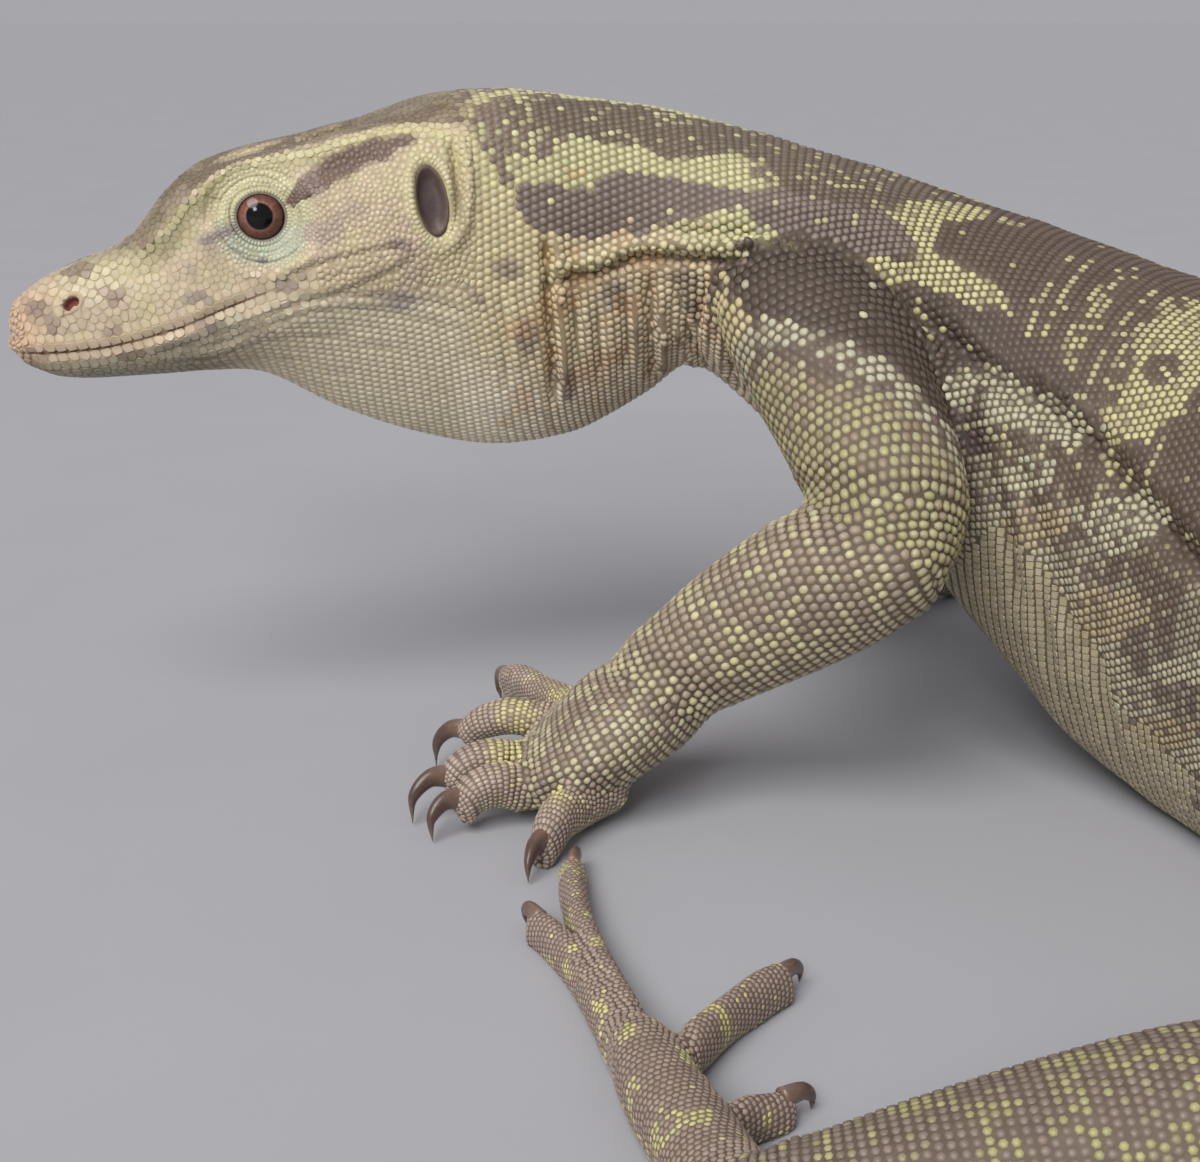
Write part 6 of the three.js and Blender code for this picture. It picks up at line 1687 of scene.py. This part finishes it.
def painted(name, rough, spec, mottle, grain, bump, coatw=0.0):
    """A finish that takes the markings' colours and breaks them up with fine procedural mottling and grain."""
    m, nodes, links, bsdf = material(name)
    att = nodes.new("ShaderNodeAttribute")
    att.attribute_name = "Paint"
    geo = nodes.new("ShaderNodeTexCoord")
    n1 = nodes.new("ShaderNodeTexNoise")
    n1.inputs["Scale"].default_value = mottle
    n1.inputs["Detail"].default_value = 4
    links.new(geo.outputs["Object"], n1.inputs["Vector"])
    ramp = nodes.new("ShaderNodeMapRange")
    ramp.inputs["From Min"].default_value = 0.3
    ramp.inputs["From Max"].default_value = 0.7
    ramp.inputs["To Min"].default_value = 0.84
    ramp.inputs["To Max"].default_value = 1.12
    links.new(n1.outputs["Fac"], ramp.inputs["Value"])
    mul = nodes.new("ShaderNodeVectorMath")
    mul.operation = "SCALE"
    links.new(att.outputs["Color"], mul.inputs[0])
    links.new(ramp.outputs["Result"], mul.inputs["Scale"])
    links.new(mul.outputs["Vector"], bsdf.inputs["Base Color"])
    n2 = nodes.new("ShaderNodeTexNoise")
    n2.inputs["Scale"].default_value = grain
    n2.inputs["Detail"].default_value = 3
    links.new(geo.outputs["Object"], n2.inputs["Vector"])
    rr = nodes.new("ShaderNodeMapRange")
    rr.inputs["To Min"].default_value = rough - 0.08
    rr.inputs["To Max"].default_value = rough + 0.1
    links.new(n2.outputs["Fac"], rr.inputs["Value"])
    links.new(rr.outputs["Result"], bsdf.inputs["Roughness"])
    b = nodes.new("ShaderNodeBump")
    b.inputs["Strength"].default_value = bump
    b.inputs["Distance"].default_value = 0.0001
    links.new(n2.outputs["Fac"], b.inputs["Height"])
    links.new(b.outputs["Normal"], bsdf.inputs["Normal"])
    bsdf.inputs["Specular IOR Level"].default_value = spec
    bsdf.inputs["Coat Weight"].default_value = coatw
    return m


MAT_SCALE = painted("scale", 0.46, 0.42, 420.0, 2600.0, 0.35)
MAT_SKIN = painted("skin", 0.6, 0.3, 500.0, 1800.0, 0.5)
MAT_HEAD = painted("head_scale", 0.42, 0.45, 380.0, 2400.0, 0.3)

# ---------------------------------------------------------------- the coat, in pieces
legk = np.array([""] + [k[:2] for k, *_ in LOFTS])[LF + 1]
bodyp = LF < 0
lefts = LT <= 0.5
aa = np.where(lefts, LT, 1 - LT)
headp = bodyp & (LI < 105)
neckp = bodyp & ~headp & (LI < 195)
trunkp = bodyp & (LI >= 195) & (LI < 567) & (LC != 4)
bellyp = bodyp & (LC == 4)
tailp = bodyp & (LI >= 567) & ~bellyp
plan = [
    ("scales_head", headp, 8),
    ("scales_neck", neckp, 8),
    ("scales_trunk_l_front", trunkp & lefts & (LI < 350), 8),
    ("scales_trunk_l_back", trunkp & lefts & (LI >= 350), 6),
    ("scales_trunk_r_front", trunkp & ~lefts & (LI < 350), 6),
    ("scales_trunk_r_back", trunkp & ~lefts & (LI >= 350), 6),
    ("scales_belly", bellyp, 6),
    ("scales_tail_base", tailp & (LI < 860), 6),
    ("scales_tail_end", tailp & (LI >= 860), 6),
    ("scales_arm_l", legk == "fl", 8),
    ("scales_arm_r", legk == "fr", 6),
    ("scales_leg_l", legk == "hl", 6),
    ("scales_leg_r", legk == "hr", 6),
]
tris = 0
for name, pick, j in plan:
    ob = coat(name, pick, j)
    ob.data.materials.append(MAT_HEAD if "head" in name else MAT_SCALE)
    "head_skin" if "head" in name else "foot_skin" if "arm" in name or "leg" in name else "body_skin"
    tris += len(ob.data.polygons)
note("coat of %d triangles" % tris)

# ---------------------------------------------------------------- the skin as one piece
sl, si, st = SRC_K[NEAR], SRC_I[NEAR], SRC_T[NEAR]
light, darkc, share = paint(sl, si, st, V)
sc = mix(darkc, light, share)
under = np.where(sl < 0, 0.62 + 0.26 * (1 - sstep(100, 128, si)), 0.5)[:, None]
sc = sc * under * np.array([1.0, 0.93, 0.84])
gc, gw = ground(sl, si, st)
sc = sc * (1 - gw[:, None]) + gc * 0.62 * gw[:, None]
# skin is painted darker where limbs meet the body, between the digits and in the deepest folds: painted shade in these
# creases
sc *= (1 - 0.30 * sstep(0.001, 0.01, JOIN) * ((sl >= 0) | (si > 150)))[:, None]
q = head_local(V)
hd = (sl < 0) & (si < 100)
dist, along, run = seg_dist(q[:, [0, 2]], MOUTH_LINE)
lip = hd & (dist < 0.45) & (along < run - 1)
sc[lip] = srgb((138, 104, 86))
ca_, sa_ = math.cos(NOSTRIL["slant"]), math.sin(NOSTRIL["slant"])
A_, B_ = q[:, 0] - NOSTRIL["s"], q[:, 2] - NOSTRIL["z"]
e_ = np.hypot((A_ * ca_ + B_ * sa_) / NOSTRIL["half_s"], (-A_ * sa_ + B_ * ca_) / NOSTRIL["half_z"])
sc[hd & (e_ < 1.0) & (np.abs(q[:, 1]) > 4)] = srgb((132, 74, 68))
rim_ = hd & (e_ >= 1.0) & (e_ < 1.7) & (np.abs(q[:, 1]) > 4)
sc[rim_] = srgb((176, 156, 132))
rho_ = eye_rho(q)
round_ = hd & (rho_ < 11.5) & (np.abs(q[:, 1]) > 9)
sc[round_] *= 1.12
sc[hd & (rho_ < 5.5) & (np.abs(q[:, 1]) > 9)] = srgb((60, 44, 40))
bpy.data.objects.remove(skin)
me = mesh_from("skin", to_row(V), F)
at = me.color_attributes.new("Paint", "FLOAT_COLOR", "POINT")
at.data.foreach_set("color", np.c_[sc, np.ones(len(sc))].astype(np.float32).ravel())
me.polygons.foreach_set("use_smooth", np.ones(len(F), bool))
skin = object_from("skin", me)
me.materials.append(MAT_SKIN)
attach(skin, "root")
flesh = ["head", "lower_jaw", "neck", "chest", "belly", "hips", "tail_1", "tail_2", "tail_3", "tail_4"]
for s in "lr":
    flesh += ["upper_arm_" + s, "forearm_" + s, "hand_" + s, "thigh_" + s, "shin_" + s, "foot_" + s]
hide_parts(*flesh)
note("skin piece")


# ---------------------------------------------------------------- eyes, lid rims, eardrums, claws
def revolve_eye(side):
    """Eyeball on its own axis, with the place from the middle of the pupil kept on each point."""
    c = head_world([[EYE["s"], side * EYE["x"], EYE["z"]]])[0]
    axis = head_world([[EYE["s"] - 0.6, side * (EYE["x"] + 10), EYE["z"] + 0.5]])[0] - c
    axis /= np.linalg.norm(axis)
    x = np.cross(axis, (0, 0, 1))
    x /= np.linalg.norm(x)
    y = np.cross(x, axis)
    n, m = 96, 72
    ang = np.r_[np.linspace(0, 65, 52), np.linspace(68, 180, m - 52)] * np.pi / 180
    v, rad = [c + axis * (EYE["r"] - 0.05)], [0.0]
    for a in ang[1:-1]:
        r = EYE["r"] - 0.05
        t = np.arange(n) * 2 * np.pi / n
        v += list(c + axis * r * math.cos(a) + (x[None] * np.cos(t)[:, None] + y[None] * np.sin(t)[:, None]) * r * math.sin(a))
        rad += [r * math.sin(a) if a < np.pi / 2 else 2 * r - r * math.sin(a)] * n
    v.append(c - axis * (EYE["r"] - 0.05))
    rad.append(2 * EYE["r"])
    f = []
    for j in range(n):
        f.append((0, 1 + j, 1 + (j + 1) % n))
    rows_ = len(ang) - 2
    for k in range(rows_ - 1):
        a0, b0 = 1 + k * n, 1 + (k + 1) * n
        for j in range(n):
            q_ = (j + 1) % n
            f += [(a0 + j, b0 + j, b0 + q_), (a0 + j, b0 + q_, a0 + q_)]
    a0 = 1 + (rows_ - 1) * n
    for j in range(n):
        f.append((a0 + j, len(v) - 1, a0 + (j + 1) % n))
    v, f = np.array(v), np.array(f)
    e = v[f] - c
    if np.einsum("ij,ij->i", e[:, 0], np.cross(e[:, 1], e[:, 2])).sum() < 0:
        f = f[:, ::-1]
    return v, f, np.array(rad), c, axis, x, y


def eye_colour(v, rad, c, x, y):
    """Copper iris round a black pupil: dark rim, bright inner ring, fine radial threads."""
    d = v - c
    th = np.arctan2(d @ y, d @ x)
    thread = vnoise(np.c_[np.cos(th) * 9, np.sin(th) * 9, rad * 0.9], 1.0, 5)
    keys = [0, 2.78, 2.9, 3.1, 3.5, 4.2, 4.8, 5.2, 6.2, 20]
    cols = [(7, 6, 9), (8, 7, 10), (92, 70, 62), (136, 100, 84), (120, 78, 66), (108, 68, 58), (92, 58, 50), (52, 34, 32), (40, 26, 24), (60, 44, 40)]
    cl = np.array([srgb(k) for k in cols])
    out = np.stack([np.interp(rad, keys, cl[:, i]) for i in range(3)], 1)
    iris = (rad > 2.9) & (rad < 5.4)
    out[iris] *= (0.65 + 0.7 * thread[iris])[:, None]
    return out


mat_eye, nodes, links, bsdf = material("eyeball")
att = nodes.new("ShaderNodeAttribute")
att.attribute_name = "Paint"
tc = nodes.new("ShaderNodeTexCoord")
nz = nodes.new("ShaderNodeTexNoise")
nz.inputs["Scale"].default_value = 1500
links.new(tc.outputs["Object"], nz.inputs["Vector"])
mr = nodes.new("ShaderNodeMapRange")
mr.inputs["To Min"].default_value = 0.7
mr.inputs["To Max"].default_value = 1.3
links.new(nz.outputs["Fac"], mr.inputs["Value"])
ml = nodes.new("ShaderNodeVectorMath")
ml.operation = "SCALE"
links.new(att.outputs["Color"], ml.inputs[0])
links.new(mr.outputs["Result"], ml.inputs["Scale"])
links.new(ml.outputs["Vector"], bsdf.inputs["Base Color"])
bsdf.inputs["Roughness"].default_value = 0.12
bsdf.inputs["Specular IOR Level"].default_value = 0.22
bsdf.inputs["Coat Weight"].default_value = 0.2
bsdf.inputs["Coat Roughness"].default_value = 0.03

MAT_DRUM = painted("eardrum", 0.45, 0.3, 700.0, 1500.0, 0.3)
MAT_LID = painted("lid", 0.4, 0.45, 900.0, 2500.0, 0.4)


def piece(name, v, f, col, mat, slot_name, *nodes_):
    me = mesh_from(name, to_row(v), f)
    at = me.color_attributes.new("Paint", "FLOAT_COLOR", "POINT")
    at.data.foreach_set("color", np.c_[col, np.ones(len(col))].astype(np.float32).ravel())
    me.polygons.foreach_set("use_smooth", np.ones(len(me.polygons), bool))
    me.materials.append(mat)
    ob = object_from(name, me)
    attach(ob, "root")
    if nodes_:
        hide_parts(*nodes_)
    return ob


def tube(path, radii, n, flatten=1.0, up=(0, 0, 1)):
    """Closed tube along a path, ends pinched to points."""
    path, radii = np.array(path, float), np.array(radii, float)
    t = np.gradient(path, axis=0)
    t /= np.linalg.norm(t, axis=1)[:, None]
    rings = []
    a = np.arange(n) * 2 * np.pi / n
    for p_, d, r in zip(path, t, radii):
        x = np.cross(d, up)
        x /= np.linalg.norm(x)
        y = np.cross(x, d)
        rings.append(p_ + (x[None] * np.cos(a)[:, None] * flatten + y[None] * np.sin(a)[:, None]) * r)
    return ring_mesh(rings)


for s_, side in (("l", 1), ("r", -1)):
    v, f, rad, c, axis, x, y = revolve_eye(side)
    piece("eyeball_" + s_, v, f, eye_colour(v, rad, c, x, y), mat_eye, "eye", "eye_" + s_)
    # rim of the lids: a soft ring that lies on the eyeball
    n, m = 84, 10
    th = np.arange(n) * 2 * np.pi / n
    o = EYE["open"] + 0.12
    xs = EYE["x"] + math.sqrt(EYE["r"] ** 2 - o**2) + 0.22
    rings = []
    for a in th:
        cen = np.array([EYE["s"] + 1.04 * o * math.cos(a), side * xs, EYE["z"] + o * math.sin(a)])
        out = np.array([math.cos(a), 0, math.sin(a)])
        lat = np.array([0, side, 0])
        b = np.arange(m) * 2 * np.pi / m
        r = 0.42 + 0.06 * math.sin(a * 3 + 1) * 0.5
        rings.append(head_world(cen + out[None] * (np.cos(b) * r * 1.1)[:, None] + lat[None] * (np.sin(b) * r)[:, None]))
    v = np.concatenate(rings)
    f = []
    for k in range(n):
        for j in range(m):
            a0, a1, b0, b1 = k * m + j, k * m + (j + 1) % m, ((k + 1) % n) * m + j, ((k + 1) % n) * m + (j + 1) % m
            f += [(a0, b0, b1), (a0, b1, a1)]
    f = np.array(f)
    e = v[f]
    fn = np.cross(e[:, 1] - e[:, 0], e[:, 2] - e[:, 0])
    cenr = np.array([r.mean(0) for r in rings])[np.repeat(np.arange(n), 2 * m)]
    if (fn * (e.mean(1) - cenr)).sum() < 0:
        f = f[:, ::-1]
    qq = head_local(v)
    inner = sstep(o + 0.1, o - 0.35, eye_rho(qq))
    col = mix(flat(len(v), (178, 176, 150)), flat(len(v), (70, 52, 48)), inner)
    piece("lid_rim_" + s_, v, f, col, MAT_LID, "head_skin")
    # eardrum: a thin dished membrane inside the ear's rim
    rows_, pts = [], []
    for k, e in enumerate((0.02, 0.25, 0.5, 0.72, 0.9, 1.06)):
        for a in np.arange(28) * 2 * np.pi / 28:
            b2 = e * EAR["half_z"] * math.sin(a)
            a2 = e * EAR["half_s"] * math.cos(a) - 0.12 * b2
            o_ = head_world([[EAR["s"] + a2, side * 45.0, EAR["z"] + b2]])[0]
            d_ = head_world([[EAR["s"] + a2, side * 44.0, EAR["z"] + b2]])[0] - o_
            h = skin_tree.ray_cast(o_, d_)
            p_ = np.array(h[0][:])
            lift = 0.45 - 0.35 * (1 - e * e) if e < 1 else 0.1
            pts.append(p_ - d_ * lift)
    pts = np.array(pts).reshape(6, 28, 3)
    sm = pts.copy()
    for _ in range(3):
        sm[:, :] = (sm + np.roll(sm, 1, 1) + np.roll(sm, -1, 1)) / 3
    back = sm + (head_world([[0, -side * 1.0, 0]])[0] - head_world([[0, 0, 0]])[0]) * 0.8
    rings = list(sm) + list(back[::-1])
    v, f = ring_mesh(rings)
    e_c = np.r_[np.repeat([0.02, 0.25, 0.5, 0.72, 0.9, 1.06], 28), np.repeat([1.06, 0.9, 0.72, 0.5, 0.25, 0.02], 28), 0, 0]
    col = mix(flat(len(v), (78, 65, 63)), flat(len(v), (104, 88, 78)), sstep(0.6, 1.05, e_c))
    # the front half of the eardrum, most towards its edge, is painted darker: painted shadow of the ear's rim
    col = mix(col, flat(len(v), (72, 60, 60)), sstep(0.3, 0.9, e_c) * (v[:, 0] < v[:, 0].mean()) * 0.4)
    piece("eardrum_" + s_, v, f, col, MAT_DRUM, "eardrum", "ear_" + s_)

MAT_CLAW = painted("claw", 0.3, 0.5, 900.0, 2200.0, 0.25)
for key, label, nodename in (("fl", "claws_arm_l", "finger_claw_l_%d"), ("fr", "claws_arm_r", "finger_claw_r_%d"), ("hl", "claws_leg_l", "toe_claw_l_%d"), ("hr", "claws_leg_r", "toe_claw_r_%d")):
    vs, fs_, cs, start = [], [], [], 0
    for d in LIMBS[key]["digits"]:
        a = np.array(d["claw"], float)
        rows = np.c_[np.arange(len(a)), a]
        k = np.linspace(0, len(a) - 1, 22)
        c = through(rows, k)
        r = c[:, 3].copy()
        w = np.linspace(0, 1, 22)
        r = np.maximum(r * np.sqrt(np.clip(1.02 - w**3, 0.02, 1)), 0.12)
        c[:, 2] = np.maximum(c[:, 2], r + 0.02)
        v, f = tube(c[:, :3], r, 14, 0.78)
        v[:, 2] = np.maximum(v[:, 2], 0.02)
        g = np.r_[np.repeat(w, 14), 0, 1]
        base = mix(flat(len(v), (122, 98, 86)), flat(len(v), (82, 62, 54)), sstep(0.0, 0.5, g))
        base = mix(base, flat(len(v), (112, 96, 86)), sstep(0.62, 1.0, g) * 0.7)
        streak = vnoise(np.c_[np.tile(np.arange(14), 22).tolist() + [0, 0], g * 3, g * 0], 1.3, 9)
        base *= (0.8 + 0.4 * streak)[:, None]
        vs.append(v)
        fs_.append(f + start)
        cs.append(base)
        start += len(v)
    piece(label, np.concatenate(vs), np.concatenate(fs_), np.concatenate(cs), MAT_CLAW, "claw", *[nodename % (n + 1) for n in range(5)])
note("eyes, ears, claws")

# ---------------------------------------------------------------- floor, light, camera
bpy.ops.mesh.primitive_plane_add(size=80.0, location=(0.0, 0.0, 0.0))
floor = bpy.context.object
floor.name = "floor"
m, nodes, links, bsdf = material("floor")
tc = nodes.new("ShaderNodeTexCoord")
nz = nodes.new("ShaderNodeTexNoise")
nz.inputs["Scale"].default_value = 14.0
nz.inputs["Detail"].default_value = 5
links.new(tc.outputs["Object"], nz.inputs["Vector"])
cr = nodes.new("ShaderNodeValToRGB")
cr.color_ramp.elements[0].color = (*srgb((160, 160, 165)), 1)
cr.color_ramp.elements[1].color = (*srgb((167, 167, 172)), 1)
links.new(nz.outputs["Fac"], cr.inputs["Fac"])
links.new(cr.outputs["Color"], bsdf.inputs["Base Color"])
bsdf.inputs["Roughness"].default_value = 0.7
floor.data.materials.append(m)


def area(name, loc, target, size, power, color=(1, 1, 1)):
    l = bpy.data.lights.new(name, "AREA")
    l.shape, l.size, l.energy, l.color = "DISK", size, power, color
    o = bpy.data.objects.new(name, l)
    bpy.context.scene.collection.objects.link(o)
    o.location = loc
    d = Vector(target) - Vector(loc)
    o.rotation_euler = d.to_track_quat("-Z", "Y").to_euler()
    return o


sun = bpy.data.lights.new("key", "SUN")
sun.energy, sun.angle, sun.color = 2.5, math.radians(38), (1.0, 0.985, 0.96)
so = bpy.data.objects.new("key", sun)
bpy.context.scene.collection.objects.link(so)
so.rotation_euler = Vector((0.34, 0.62, -0.80)).to_track_quat("-Z", "Y").to_euler()
area("fill", (-0.75, -1.5, 1.0), (-0.3, 0.1, 0.08), 0.45, 10, (0.97, 0.98, 1.0))
world = bpy.data.worlds.new("studio")
bpy.context.scene.world = world
world.use_nodes = True
world.node_tree.nodes["Background"].inputs["Color"].default_value = (0.79, 0.785, 0.83, 1)
world.node_tree.nodes["Background"].inputs["Strength"].default_value = 0.49
bpy.context.scene.view_settings.view_transform = "Standard"
cam = bpy.data.cameras.new("camera")
cam.sensor_width = 36.0
cam.sensor_fit = "HORIZONTAL"
cam.lens = 1852 / 1200 * 36.0
cam.clip_start, cam.clip_end = 0.01, 50
co = bpy.data.objects.new("camera", cam)
bpy.context.scene.collection.objects.link(co)
co.location = (-0.36212332, -0.23647623, 0.165)
co.rotation_euler = (math.radians(73), 0, 0)
bpy.context.scene.camera = co

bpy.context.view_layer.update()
note("done")
